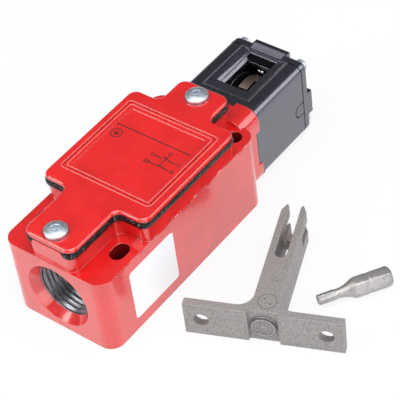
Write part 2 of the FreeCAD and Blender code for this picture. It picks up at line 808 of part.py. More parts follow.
def make_head_screws():
    """Four long pan-head screws that hold the head on the neck."""
    screws = []
    for tag, x, z in head_screw_spots():
        shank = cylinder(f"head_shank_{tag}", "y", S["head_screw_radius"],
                         (x, end_y - S["head_screw_length"], z),
                         S["head_screw_length"] + 0.5)
        top = cylinder(f"head_top_{tag}", "y", S["head_screw_head_radius"], (x, end_y, z),
                       S["head_screw_head_height"])
        crown = round_edges(f"head_crown_{tag}", top, as_size(0.7),
                            lambda e: middle(e).y > end_y.value + 1 and not runs_along(e, "y"))
        socket = cylinder(f"head_socket_{tag}", "y", 0.9, (x, end_y + 0.8, z), as_size(2))
        screws.append(cut(f"head_screw_{tag}", fuse(f"head_screw_solid_{tag}", [shank, crown]), socket))
    return group("head_screws", screws)


def make_head_seal():
    """Flat rubber seal between the neck and the head."""
    side = S["tab_width"] / 2 - 1
    plate = box("seal_plate", (-side, seat_y, axis_z - side),
                (side, seat_y + S["seal_thickness"], axis_z + side))
    hole = cylinder("seal_hole", "y", S["plunger_radius"] + S["part_clearance"],
                    (0, seat_y - 1, axis_z), as_size(4))
    return cut("head_seal", plate, hole)


# ---------------------------------------------------------------- cam wheel

def cam_outline():
    """Wheel rim: round, with a spiral dip for the plunger and open notches for the tongue's web."""
    radius = S["wheel_radius"].value
    drop = S["cam_drop"].value
    sector = math.radians(S["cam_sector"].value)
    steps = 16
    margin = math.radians(6)
    start = -math.pi / 2
    spiral = []
    for n in range(steps + 1):
        share = n / steps
        angle = start - share * sector
        spiral.append((angle, radius - share * drop))
    low_end = spiral[-1][0] - margin
    points = [FreeCAD.Vector(0, radius * math.cos(start + margin), radius * math.sin(start + margin))]
    points += [FreeCAD.Vector(0, r * math.cos(a), r * math.sin(a)) for a, r in spiral]
    floor = radius - drop
    tail = FreeCAD.Vector(0, floor * math.cos(low_end), floor * math.sin(low_end))
    rise = FreeCAD.Vector(0, radius * math.cos(low_end - margin), radius * math.sin(low_end - margin))
    curve = Part.BSplineCurve()
    curve.interpolate(points[1:])
    first = points[0]
    far_side = FreeCAD.Vector(0, -math.cos((start + margin + low_end - margin) / 2) * radius,
                              -math.sin((start + margin + low_end - margin) / 2) * radius)
    edges = [
        Part.makeLine(first, points[1]) if (points[1] - first).Length > 1e-6 else None,
        curve.toShape(),
        Part.makeLine(points[-1], tail),
        Part.makeLine(tail, rise),
        Part.Arc(rise, far_side, first).toShape(),
    ]
    return Part.Wire([e for e in edges if e])


def make_cam_wheel():
    """Sintered cam wheel between the tongue's prongs, spiral at the plunger, notched for the tongue."""
    blank = doc.addObject("Part::Feature", "wheel_blank")
    face = Part.Face(cam_outline())
    thick = S["wheel_thickness"].value
    solid = face.extrude(FreeCAD.Vector(thick, 0, 0))
    turn = FreeCAD.Rotation(FreeCAD.Vector(1, 0, 0), -90)
    solid.Placement = FreeCAD.Placement(FreeCAD.Vector(), turn)
    blank.Shape = solid
    place(blank, -S["wheel_thickness"] / 2, wheel_y, axis_z)
    notches = []
    for tag, y, z in (("top", 1, 6.2), ("end", 6.2, 1)):
        notch = cylinder(f"wheel_notch_{tag}", "x", 2.0, (-S["wheel_thickness"], wheel_y + y * 1.2,
                                                          axis_z + z * 1.2),
                         2 * S["wheel_thickness"])
        notches.append(notch)
    bore = cylinder("wheel_bore", "x", S["axle_radius"], (-S["wheel_thickness"], wheel_y, axis_z),
                    2 * S["wheel_thickness"])
    return cut("cam_wheel", blank, fuse("wheel_cuts", [*notches, bore]))


def make_wheel_flanges():
    """Two guide flanges that turn with the wheel, outside the tongue's prongs."""
    flanges = []
    for tag, sign in (("left", -1), ("right", 1)):
        inner = S["flange_spread"] / 2
        start = inner if sign > 0 else -inner - S["flange_thickness"]
        disc = cylinder(f"flange_disc_{tag}", "x", S["wheel_radius"] - 0.1, (start, wheel_y, axis_z),
                        S["flange_thickness"])
        bore = cylinder(f"flange_bore_{tag}", "x", S["axle_radius"], (start - 1, wheel_y, axis_z),
                        S["flange_thickness"] + 2)
        flanges.append(cut(f"flange_{tag}", disc, bore))
    return group("wheel_flanges", flanges)


def make_axle():
    axle = cylinder("axle_bar", "x", S["axle_radius"], (-S["axle_length"] / 2, wheel_y, axis_z),
                    S["axle_length"])
    return round_edges("wheel_axle", axle, as_size(0.3), lambda e: not runs_along(e, "x"))


def make_stop_pin():
    """Bright cross pin between a flange and the wheel."""
    angle = math.radians(58)
    reach = S["wheel_radius"] - 1.6
    y = wheel_y + reach * round(math.cos(angle), 4)
    z = axis_z + reach * round(math.sin(angle), 4)
    return cylinder("drive_pin", "x", 1.0, (S["wheel_thickness"] / 2, y, z),
                    S["flange_spread"] / 2 - S["wheel_thickness"] / 2)


# ---------------------------------------------------------------- plunger and contact block

rest_tip_y = wheel_y - S["wheel_radius"] - S["tip_clearance"]
carrier_front = S["block_length"] / 2 - 4
travel = S["cam_drop"]


def make_plunger():
    """Steel plunger: rod with a conical nose that follows the wheel."""
    nose = S["plunger_radius"] * 1.2
    rod = cylinder("plunger_rod", "y", S["plunger_radius"], (0, carrier_front, axis_z),
                   rest_tip_y - nose - carrier_front)
    tip = cone("plunger_nose", "y", S["plunger_radius"], S["plunger_tip_radius"],
               (0, rest_tip_y - nose, axis_z), nose)
    return fuse("plunger", [rod, tip])


def make_bush():
    """Flanged guide bush pressed into the neck."""
    sleeve = cylinder("bush_sleeve", "y", S["bush_radius"], (0, S["chamber_far"], axis_z),
                      seat_y - S["chamber_far"])
    flange = cylinder("bush_flange", "y", S["bush_flange_radius"],
                      (0, seat_y - S["bush_flange_thickness"], axis_z), S["bush_flange_thickness"])
    hole = cylinder("bush_hole", "y", S["plunger_radius"] + S["running_clearance"],
                    (0, S["chamber_far"] - 1, axis_z), seat_y - S["chamber_far"] + 2)
    return cut("plunger_bush", fuse("bush_solid", [sleeve, flange]), hole)


block_low = S["floor_thickness"]
block_top = block_low + S["block_height"]


def make_contact_base():
    """Moulded contact block base with the carrier's channel, bridge slots and terminal seats."""
    half_w, half_l = S["block_width"] / 2, S["block_length"] / 2
    outer = box("base_outer", (-half_w, -half_l, block_low), (half_w, half_l, block_top))
    lane_w = S["carrier_width"] / 2 + S["part_clearance"]
    lane_h = S["carrier_height"] / 2 + S["part_clearance"]
    lane = box("carrier_lane", (-lane_w, -half_l + 2.5, axis_z - lane_h),
               (lane_w, half_l + 1, block_top + 1))
    tools = [lane]
    for tag, y in (("near", -S["bridge_pitch"] / 2), ("far", S["bridge_pitch"] / 2)):
        low = axis_z - S["bridge_height"] / 2 - 1
        tools.append(box(f"bridge_room_{tag}", (-S["bridge_length"] / 2 - 1, y - 2.6, low),
                         (S["bridge_length"] / 2 + 1, y + S["cam_drop"] + 2.6, block_top + 1)))
    for tag, side, face, way in terminal_places():
        near, far = S["bridge_length"] / 2, S["block_width"] / 2 - 0.5
        x_low, x_high = (near, far) if side > 0 else (-far, -near)
        strip_t = S["strip_thickness"]
        y_low, y_high = (face, face + strip_t) if way > 0 else (face - strip_t, face)
        tools.append(box(f"strip_slot_{tag}", (x_low, y_low - 0.1, axis_z - 1.5),
                         (x_high, y_high + 0.1, block_top + 1)))
    for tag, x, y in block_screw_spots():
        tools.append(cylinder(f"base_hole_{tag}", "z", as_size(1.3), (x, y, block_low - 1),
                              S["block_height"] + 2))
    return cut("contact_base", outer, fuse("base_tools", tools))


def make_contact_cap():
    """Cap that closes the contact block over the carrier."""
    half_l = S["block_length"] / 2
    half_w = S["block_width"] / 2 - S["cap_margin"]
    cap_top = block_top + S["cap_thickness"]
    cap = box("cap_plate", (-half_w, -half_l, block_top), (half_w, half_l, cap_top))
    return round_edges("contact_cap", cap, as_size(0.8),
                       lambda e: abs(middle(e).z - cap_top.value) < 1e-6)


def make_carrier():
    """Sliding contact carrier with a window for each bridge."""
    half_w, half_h = S["carrier_width"] / 2, S["carrier_height"] / 2
    bar = box("carrier_bar", (-half_w, carrier_front - S["carrier_length"], axis_z - half_h),
              (half_w, carrier_front, axis_z + half_h))
    tools = []
    for tag, y in (("near", -S["bridge_pitch"] / 2), ("far", S["bridge_pitch"] / 2)):
        tools.append(box(f"carrier_window_{tag}", (-half_w - 1, y - S["bridge_thickness"] / 2,
                                                   axis_z - S["bridge_height"] / 2),
                         (half_w + 1, y + S["bridge_thickness"] / 2, axis_z + S["bridge_height"] / 2)))
    return cut("contact_carrier", bar, fuse("carrier_tools", tools))


def make_bridge(name, y):
    """One moving contact bridge with a rivet contact at each end."""
    half = S["bridge_length"] / 2
    strip = box(name + "_strip", (-half, y - S["bridge_thickness"] / 2, axis_z - S["bridge_height"] / 2),
                (half, y + S["bridge_thickness"] / 2, axis_z + S["bridge_height"] / 2))
    return strip


def make_bridges():
    near = -S["bridge_pitch"] / 2
    far = S["bridge_pitch"] / 2
    names = []
    for name, y, side in (("safety_bridge", near, 1), ("signal_bridge", far, -1)):
        strip = make_bridge(name, y)
        tips = []
        reach = S["bridge_length"] / 2 - S["tip_inset"]
        for tag, x in (("left", -reach), ("right", reach)):
            face = S["bridge_thickness"] / 2
            start = y + face if side > 0 else y - face - S["tip_height"]
            tips.append(cylinder(f"{name}_tip_{tag}", "y", S["tip_radius"], (x, start, axis_z),
                                 S["tip_height"]))
        names.append(fuse(name, [strip, *tips]))
    return names


def terminal_places():
    """Each terminal: tag, side, contact face and direction of the strip from that face."""
    tip = S["bridge_thickness"] / 2 + S["tip_height"]
    safety = -S["bridge_pitch"] / 2 + tip + travel + S["contact_gap"]
    signal = S["bridge_pitch"] / 2 - tip - S["contact_gap"]
    return [("safety_left", -1, safety, 1), ("safety_right", 1, safety, 1),
            ("signal_left", -1, signal, -1), ("signal_right", 1, signal, -1)]


def make_terminals():
    """Four fixed contact strips, their screws and clamp plates."""
    strips, screws, clamps = [], [], []
    strip_t = S["strip_thickness"]
    shelf_top = block_top + strip_t
    clamp_top = shelf_top + S["clamp_thickness"]
    inner = S["bridge_length"] / 2 - S["strip_overlap"]
    outer = S["block_width"] / 2 - S["strip_inset"]
    first = S["block_width"] / 2 - S["cap_margin"] + S["part_clearance"]
    half_h = S["strip_height"] / 2
    shank_r = S["terminal_shank_radius"]
    for tag, side, face, way in terminal_places():
        x_low, x_high = (inner, outer) if side > 0 else (-outer, -inner)
        y_low, y_high = (face, face + strip_t) if way > 0 else (face - strip_t, face)
        upright = box(f"strip_{tag}_upright", (x_low, y_low, axis_z - half_h),
                      (x_high, y_high, block_top - S["part_clearance"]))
        length = S["strip_shelf_length"]
        shelf_low, shelf_high = (y_high - length, y_high) if way > 0 else (y_low, y_low + length)
        s_low, s_high = (first, outer) if side > 0 else (-outer, -first)
        shelf = box(f"strip_{tag}_shelf", (s_low, shelf_low, block_top), (s_high, shelf_high, shelf_top))
        riser = box(f"strip_{tag}_riser", (s_low, y_low, block_top - 1), (s_high, y_high, shelf_top))
        strip = fuse(f"strip_{tag}", [upright, riser, shelf])
        x_mid = side * (S["block_width"] / 2 - S["terminal_inset"])
        y_mid = (shelf_low + shelf_high) / 2 - way * strip_t
        spot = (x_mid, y_mid, block_top - 1)
        hole = cylinder(f"strip_{tag}_hole", "z", shank_r, spot, as_size(4))
        strips.append(cut(f"strip_{tag}_done", strip, hole))
        wide, long = S["clamp_width"] / 2, S["clamp_length"] / 2
        plate = box(f"clamp_{tag}_plate", (x_mid - wide, y_mid - long, shelf_top),
                    (x_mid + wide, y_mid + long, clamp_top))
        plate_hole = cylinder(f"clamp_{tag}_hole", "z", shank_r, spot, as_size(4))
        clamps.append(cut(f"clamp_{tag}", plate, plate_hole))
        head_h = S["terminal_head_height"]
        shank = cylinder(f"terminal_shank_{tag}", "z", shank_r, (x_mid, y_mid, block_top),
                         clamp_top - block_top + 0.1)
        head = cylinder(f"terminal_head_{tag}", "z", S["terminal_screw_radius"],
                        (x_mid, y_mid, clamp_top), head_h)
        half_slot = S["screw_slot_width"] / 2
        slot = box(f"terminal_slot_{tag}",
                   (x_mid - 3, y_mid - half_slot, clamp_top + head_h - S["screw_slot_depth"]),
                   (x_mid + 3, y_mid + half_slot, clamp_top + head_h + 1))
        screws.append(cut(f"terminal_screw_{tag}", fuse(f"terminal_solid_{tag}", [shank, head]), slot))
    return [group("fixed_contacts", strips), group("terminal_screws", screws),
            group("terminal_clamps", clamps)]


def make_return_spring():
    """Compression spring behind the carrier that lifts the plunger towards the wheel."""
    back = carrier_front - S["carrier_length"]
    wall = -S["block_length"] / 2 + 2.5
    length = (back - wall).value
    wire = S["spring_wire"].value
    turns = 4
    helix = Part.makeHelix((length - 2 * wire) / turns, length - 2 * wire, S["spring_radius"].value)
    start = FreeCAD.Vector(S["spring_radius"].value, 0, 0)
    ring = Part.Wire([Part.Circle(start, FreeCAD.Vector(0, 1, 0), wire / 2).toShape()])
    coil = Part.Wire(helix.Edges).makePipeShell([ring], True, True)
    target = doc.addObject("Part::Feature", "return_spring")
    target.Shape = coil
    target.Placement = FreeCAD.Placement(FreeCAD.Vector(0, wall.value + wire, axis_z.value), TURNS["y"])
    place(target, 0, wall + S["spring_wire"], axis_z)
    return target


def block_screw_spots():
    x = S["block_width"] / 2 - 3.4
    y = S["block_length"] / 2 - 2.6
    return [("near", -x, -y), ("far", x, y)]


def slotted_screw(name, x, y, seat, shank_radius, head_radius, length):
    """A short slotted screw along Z whose head stands on its seat."""
    shank = cylinder(name + "_shank", "z", shank_radius, (x, y, seat - length), length + 0.1)
    head = cylinder(name + "_head", "z", head_radius, (x, y, seat), as_size(1.6))
    slot = box(name + "_slot", (x - 3, y - 0.3, seat + 1.0), (x + 3, y + 0.3, seat + 3))
    return cut(name, fuse(name + "_solid", [shank, head]), slot)


def make_block_screws():
    """Two screws that fix the contact block, at opposite corners."""
    return group("block_screws", [slotted_screw(f"block_screw_{tag}", x, y, block_top, 1.1, 2.1,
                                                S["block_height"])
                                  for tag, x, y in block_screw_spots()])


def make_earth_terminal():
    """Earth screw and clamp washer on the chamber floor behind the conduit entry."""
    y = S["chamber_near"] - 5
    washer = cylinder("earth_washer_disc", "z", 3.2, (0, y, S["floor_thickness"]), as_size(0.8))
    hole = cylinder("earth_washer_hole", "z", 1.3, (0, y, S["floor_thickness"] - 1), as_size(3))
    screw = cylinder("earth_head", "z", 2.6, (0, y, S["floor_thickness"] + 0.8), as_size(1.7))
    slot = box("earth_slot", (-3, y - 0.35, S["floor_thickness"] + 1.8),
               (3, y + 0.35, S["floor_thickness"] + 3))
    return cut("earth_clamp", washer, hole), cut("earth_screw", screw, slot)


# ---------------------------------------------------------------- label

def make_label():
    """Blank paper label on the right flank."""
    side = S["body_width"] / 2
    start = body_near + S["label_start"]
    low = S["label_low"]
    return box("side_label", (side, start, low),
               (side + S["label_thickness"], start + S["label_length"], low + S["label_height"]))


# ---------------------------------------------------------------- actuator key and driver bit

def make_key():
    """Actuator tongue lying on its long edge: T profile, fork, side slots, web, holes and boss."""
    body = start_body("actuator_key")
    half = S["key_length"] / 2
    stem = S["key_stem_width"] / 2
    plate = S["key_plate"]
    reach = S["key_reach"]
    shoulder = reach - 2.9
    point = stem - 1.5
    profile = start_sketch(body, "key_sketch", "XY_Plane")
    fork = S["key_fork_width"] / 2
    right = [(half, 0), (half, plate), (stem, plate), (stem, shoulder), (point, reach),
             (fork, reach - 0.9),
             (fork, S["key_fork_start"])]
    draw_polygon(profile, right + [(-x, y) for x, y in reversed(right)])
    pad(body, "key_profile", profile, S["key_height"])
    dress(body, "Fillet", "key_roots", S["key_root_radius"],
          lambda e: runs_along(e, "z") and abs(middle(e).y - plate.value) < 1e-6
          and abs(abs(middle(e).x) - stem.value) < 1e-6)
    dress(body, "Fillet", "key_fork_floor", fork * 0.98,
          lambda e: runs_along(e, "z") and abs(middle(e).y - S["key_fork_start"].value) < 1e-6)

    side = start_sketch(body, "key_side_slot_sketch", "YZ_Plane", -stem - 1)
    middle_z = S["key_height"] / 2
    slot = S["key_side_slot"] / 2
    start = S["key_side_slot_start"]
    draw_polygon(side, [(start, middle_z - slot), (reach + 1, middle_z - slot),
                        (reach + 1, middle_z + slot),
                        (start, middle_z + slot)])
    pocket(body, "key_side_slot", side, 2 * stem + 2, reverse=True)

    web = start_sketch(body, "key_web_sketch", "XY_Plane")
    draw_rectangle(web, -fork - 0.5, S["key_web_start"], fork + 0.5,
                   S["key_web_start"] + S["key_web_length"])
    pad(body, "key_web", web, middle_z - slot)

    recess = start_sketch(body, "key_recess_sketch", "XY_Plane", S["key_height"])
    wide = S["key_recess_width"] / 2
    draw_rectangle(recess, -wide, -1, wide, S["key_recess_depth"])
    pocket(body, "key_recess", recess, S["key_height"])
    boss = start_sketch(body, "key_boss_sketch", "XZ_Plane", -S["key_recess_depth"] - 0.2)
    draw_circle(boss, 0, middle_z, S["key_boss_radius"])
    pad(body, "key_boss", boss, S["key_recess_depth"] * 0.7 + 0.2)
    holes = start_sketch(body, "key_holes_sketch", "XZ_Plane", as_size(1))
    for x in (-S["key_pitch"] / 2, S["key_pitch"] / 2):
        draw_circle(holes, x, middle_z, S["key_hole_radius"])
    pocket(body, "key_holes", holes, plate + 2)
    return body


def make_bit():
    """Security driver bit: hexagon shank, tapered neck and fluted tip with a pin hole."""
    across = S["bit_flats"] / math.sqrt(3)
    prism = doc.addObject("Part::Prism", "bit_hexagon")
    prism.Polygon = 6
    bind(prism, "Circumradius", across)
    bind(prism, "Height", S["bit_hex_length"])
    chamfer = cone("bit_hex_chamfer", "z", across * 0.86, across * 1.5, (0, 0, 0), across * 0.9)
    rear = cone("bit_hex_rear", "z", across * 1.5, across * 0.86,
                (0, 0, S["bit_hex_length"] - across * 0.9), across * 0.9)
    core = cylinder("bit_hex_core", "z", across * 1.5, (0, 0, across * 0.9 - 0.01),
                    S["bit_hex_length"] - across * 1.8 + 0.02)
    turned = fuse("bit_turning", [chamfer, core, rear])
    hexagon = common("bit_shank", [prism, turned])
    neck = cone("bit_neck", "z", across * 0.86, S["bit_tip_radius"], (0, 0, S["bit_hex_length"]),
                S["bit_neck_length"])
    shaft_start = S["bit_hex_length"] + S["bit_neck_length"]
    shaft = cylinder("bit_tip", "z", S["bit_tip_radius"], (0, 0, shaft_start),
                     S["bit_length"] - shaft_start)
    flutes = []
    for n in range(6):
        angle = math.radians(60 * n)
        x = S["bit_tip_radius"] * round(1.2 * math.cos(angle), 6)
        y = S["bit_tip_radius"] * round(1.2 * math.sin(angle), 6)
        flutes.append(cylinder(f"bit_flute_{n}", "z", S["bit_tip_radius"] * 0.36,
                               (x, y, S["bit_length"] - 4.2), as_size(5)))
    flutes.append(cylinder("bit_pin_hole", "z", S["bit_pin_hole_radius"],
                           (0, 0, S["bit_length"] - 1.8), as_size(3)))
    return cut("driver_bit", fuse("bit_solid", [hexagon, neck, shaft]), fuse("bit_cuts", flutes))


def lay_down(piece, x, y, z, rotation):
    """Set a loose piece down beside the switch."""
    piece.Placement = FreeCAD.Placement(FreeCAD.Vector(), rotation)
    place(piece, x, y, z)
    return piece


# ---------------------------------------------------------------- build and write

def build():
    pieces = {}
    pieces["housing"] = make_conduit_mouth(make_housing())
    pieces["cover"] = make_cover()
    pieces["cover_gasket"] = make_gasket()
    pieces["cover_screws"] = make_cover_screws()
    pieces["head_body"] = make_head_body()
    pieces["top_slot_frame"] = make_top_frame()
    pieces["head_end_cover"] = make_end_cover()
    pieces["head_screws"] = make_head_screws()
    pieces["head_seal"] = make_head_seal()
    pieces["cam_wheel"] = make_cam_wheel()
    pieces["wheel_flanges"] = make_wheel_flanges()
    pieces["wheel_axle"] = make_axle()
    pieces["drive_pin"] = make_stop_pin()
    pieces["plunger"] = make_plunger()
    pieces["plunger_bush"] = make_bush()
    pieces["contact_base"] = make_contact_base()
    pieces["contact_cap"] = make_contact_cap()
    pieces["contact_carrier"] = make_carrier()
    pieces["safety_bridge"], pieces["signal_bridge"] = make_bridges()
    pieces["fixed_contacts"], pieces["terminal_screws"], pieces["terminal_clamps"] = make_terminals()
    pieces["return_spring"] = make_return_spring()
    pieces["block_screws"] = make_block_screws()
    pieces["earth_clamp"], pieces["earth_screw"] = make_earth_terminal()
    pieces["side_label"] = make_label()
    upright = FreeCAD.Vector(0, 0, 1)
    pieces["actuator_key"] = lay_down(make_key(), S["key_place_x"], S["key_place_y"], 0,
                                      FreeCAD.Rotation(upright, S["key_turn"].value))
    on_a_flat = FreeCAD.Rotation(upright, 30)
    lying = FreeCAD.Rotation(upright, S["bit_turn"].value).multiply(TURNS["x"]).multiply(on_a_flat)
    pieces["driver_bit"] = lay_down(make_bit(), S["bit_place_x"], S["bit_place_y"], S["bit_flats"] / 2,
                                    lying)
    return pieces


def check(pieces):
    doc.recompute()
    for item in doc.Objects:
        if "Invalid" in item.State or "Error" in item.State:
            raise RuntimeError(f"{item.Name} failed: {item.State}")
    for name, piece in pieces.items():
        if piece.Shape.isNull() or not piece.Shape.isValid():
            raise RuntimeError(f"{name} has no valid shape")


def write(pieces):
    os.makedirs("parts", exist_ok=True)
    for name, piece in pieces.items():
        piece.Label = name
        piece.Shape.exportStep(f"parts/{name}.step")
        print(f"{name}: {len(piece.Shape.Solids)} solids, {piece.Shape.Volume:.1f} mm3")


pieces = build()
check(pieces)
write(pieces)
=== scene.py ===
import json
import math

import bmesh
import bpy
from mathutils import Matrix, Vector, noise


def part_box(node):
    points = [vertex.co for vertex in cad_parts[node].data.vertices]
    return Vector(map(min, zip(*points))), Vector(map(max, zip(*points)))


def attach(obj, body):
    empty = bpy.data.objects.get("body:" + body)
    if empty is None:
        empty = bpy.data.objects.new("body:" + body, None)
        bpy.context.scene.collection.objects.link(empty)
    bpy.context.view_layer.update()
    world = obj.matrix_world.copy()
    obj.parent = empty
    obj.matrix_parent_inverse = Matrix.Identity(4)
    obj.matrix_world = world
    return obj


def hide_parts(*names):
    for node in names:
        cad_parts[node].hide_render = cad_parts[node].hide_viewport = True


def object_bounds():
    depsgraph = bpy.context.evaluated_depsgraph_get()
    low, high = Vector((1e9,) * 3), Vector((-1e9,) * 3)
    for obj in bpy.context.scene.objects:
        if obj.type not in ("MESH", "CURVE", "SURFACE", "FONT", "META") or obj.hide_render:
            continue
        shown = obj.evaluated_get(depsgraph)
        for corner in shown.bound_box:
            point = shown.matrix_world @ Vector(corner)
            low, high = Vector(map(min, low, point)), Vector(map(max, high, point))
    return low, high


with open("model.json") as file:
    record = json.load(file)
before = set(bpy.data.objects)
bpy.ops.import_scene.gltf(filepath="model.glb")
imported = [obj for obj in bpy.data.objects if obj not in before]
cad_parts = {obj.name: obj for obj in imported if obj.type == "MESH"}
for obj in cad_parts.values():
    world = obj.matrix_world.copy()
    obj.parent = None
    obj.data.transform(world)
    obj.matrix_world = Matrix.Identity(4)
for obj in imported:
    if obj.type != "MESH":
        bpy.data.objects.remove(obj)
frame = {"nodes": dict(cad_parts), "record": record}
cad_low, cad_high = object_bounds()
scene = bpy.context.scene
MM = 0.001


def mount(name):
    """A mount's entry in the record."""
    return next(m for m in frame["record"]["mounts"] if m["name"] == name)


# ------------------------------------------------------------------ materials


class Shader:
    """A node material with one Principled shader and short calls for the nodes it needs."""

    def __init__(self, name, colour, roughness, metallic=0.0, **sockets):
        self.material = bpy.data.materials.new(name)
        self.material.use_nodes = True
        self.tree = self.material.node_tree
        self.shader = self.tree.nodes["Principled BSDF"]
        self.set(Base_Color=(*colour, 1), Roughness=roughness, Metallic=metallic, **sockets)
        coordinates = self.tree.nodes.new("ShaderNodeTexCoord")
        self.place = coordinates.outputs["Object"]

    def set(self, **sockets):
        """Sets sockets of the shader; an underscore stands for a space."""
        for name, value in sockets.items():
            self.shader.inputs[name.replace("_", " ")].default_value = value

    def link(self, source, target):
        """Joins an output to an input."""
        self.tree.links.new(source, target)

    def noise(self, scale, detail=3.0):
        """Noise with the given number of features per metre."""
        node = self.tree.nodes.new("ShaderNodeTexNoise")
        node.inputs["Scale"].default_value = scale
        node.inputs["Detail"].default_value = detail
        self.link(self.place, node.inputs["Vector"])
        return node.outputs["Fac"]

    def cells(self, scale):
        """Distance to the nearest of scattered points."""
        node = self.tree.nodes.new("ShaderNodeTexVoronoi")
        node.inputs["Scale"].default_value = scale
        self.link(self.place, node.inputs["Vector"])
        return node.outputs["Distance"]

    def ramp(self, source, low, high, start, end):
        """Maps source from low..high to start..end, clamped."""
        node = self.tree.nodes.new("ShaderNodeMapRange")
        for name, value in (("From Min", low), ("From Max", high), ("To Min", start), ("To Max", end)):
            node.inputs[name].default_value = value
        self.link(source, node.inputs["Value"])
        return node.outputs["Result"]

    def mix(self, factor, first, second):
        """Blends two colours; either may be a tuple or a socket."""
        node = self.tree.nodes.new("ShaderNodeMix")
        node.data_type = "RGBA"
        self.link(factor, node.inputs["Factor"])
        for slot, value in ((6, first), (7, second)):
            if isinstance(value, tuple):
                node.inputs[slot].default_value = (*value, 1)
            else:
                self.link(value, node.inputs[slot])
        return node.outputs[2]

    def colour(self, source):
        """Drives the base colour."""
        self.link(source, self.shader.inputs["Base Color"])

    def roughness(self, source):
        """Drives the roughness."""
        self.link(source, self.shader.inputs["Roughness"])

    def edges(self, radius):
        """Rounded-edge normal and a mask that is 1 on edges and 0 on faces; the materials use the mask to
        paint edge highlights.
        """
        node = self.tree.nodes.new("ShaderNodeBevel")
        node.samples = 6
        node.inputs["Radius"].default_value = radius
        geometry = self.tree.nodes.new("ShaderNodeNewGeometry")
        dot = self.tree.nodes.new("ShaderNodeVectorMath")
        dot.operation = "DOT_PRODUCT"
        self.link(node.outputs["Normal"], dot.inputs[0])
        self.link(geometry.outputs["True Normal"], dot.inputs[1])
        mask = self.ramp(dot.outputs["Value"], 0.98, 0.80, 0.0, 1.0)
        return node.outputs["Normal"], mask

    def axis(self, source, name):
        """One coordinate of a vector."""
        node = self.tree.nodes.new("ShaderNodeSeparateXYZ")
        self.link(source, node.inputs["Vector"])
        return node.outputs[name]

    def math(self, operation, first, second=0.0):
        """One sum; either term may be a number or a socket."""
        node = self.tree.nodes.new("ShaderNodeMath")
        node.operation = operation
        for slot, value in ((0, first), (1, second)):
            if isinstance(value, float):
                node.inputs[slot].default_value = value
            else:
                self.link(value, node.inputs[slot])
        return node.outputs["Value"]

    def vector(self, operation, *sources):
        """A vector sum, unit vector or the like."""
        node = self.tree.nodes.new("ShaderNodeVectorMath")
        node.operation = operation
        for slot, source in enumerate(sources):
            self.link(source, node.inputs[slot])
        return node.outputs["Vector"]

    def occlusion_shade(self, reach):
        """1 in the open and 0 deep in a hole; a mask for painted shade."""
        node = self.tree.nodes.new("ShaderNodeAmbientOcclusion")
        node.samples = 8
        node.inputs["Distance"].default_value = reach
        return self.ramp(node.outputs["AO"], 0.03, 0.22, 0.0, 1.0)

    def bump(self, source, strength, distance, normal=None):
        """Drives the normal with a height, on top of a given normal."""
        node = self.tree.nodes.new("ShaderNodeBump")
        node.inputs["Strength"].default_value = strength
        node.inputs["Distance"].default_value = distance
        self.link(source, node.inputs["Height"])
        if normal:
            self.link(normal, node.inputs["Normal"])
        self.link(node.outputs["Normal"], self.shader.inputs["Normal"])
        return node.outputs["Normal"]


def bore_shade(s):
    """A mask for painted shade: 1 everywhere but on the walls of the four mounting holes, which lie in the
    dark and are painted darker.
    """
    holes = mount("mounting_holes")
    geometry = s.tree.nodes.new("ShaderNodeNewGeometry")
    upright = s.math("ABSOLUTE", s.axis(geometry.outputs["True Normal"], "Z"))
    inside = s.ramp(upright, 0.2, 0.4, 1.0, 0.0)
    for axis, centre, reach in (("X", holes["dims"]["spacing_x_mm"] / 2 * MM, 0.0027),
                                ("Y", holes["pos_m"][1], 0.0037)):
        offset = s.math("SUBTRACT", s.math("ABSOLUTE", s.axis(s.place, axis)), centre)
        near = s.ramp(s.math("ABSOLUTE", offset), reach, reach + 0.0001, 1.0, 0.0)
        inside = s.math("MULTIPLY", inside, near)
    return s.ramp(inside, 0.0, 1.0, 1.0, 0.36)


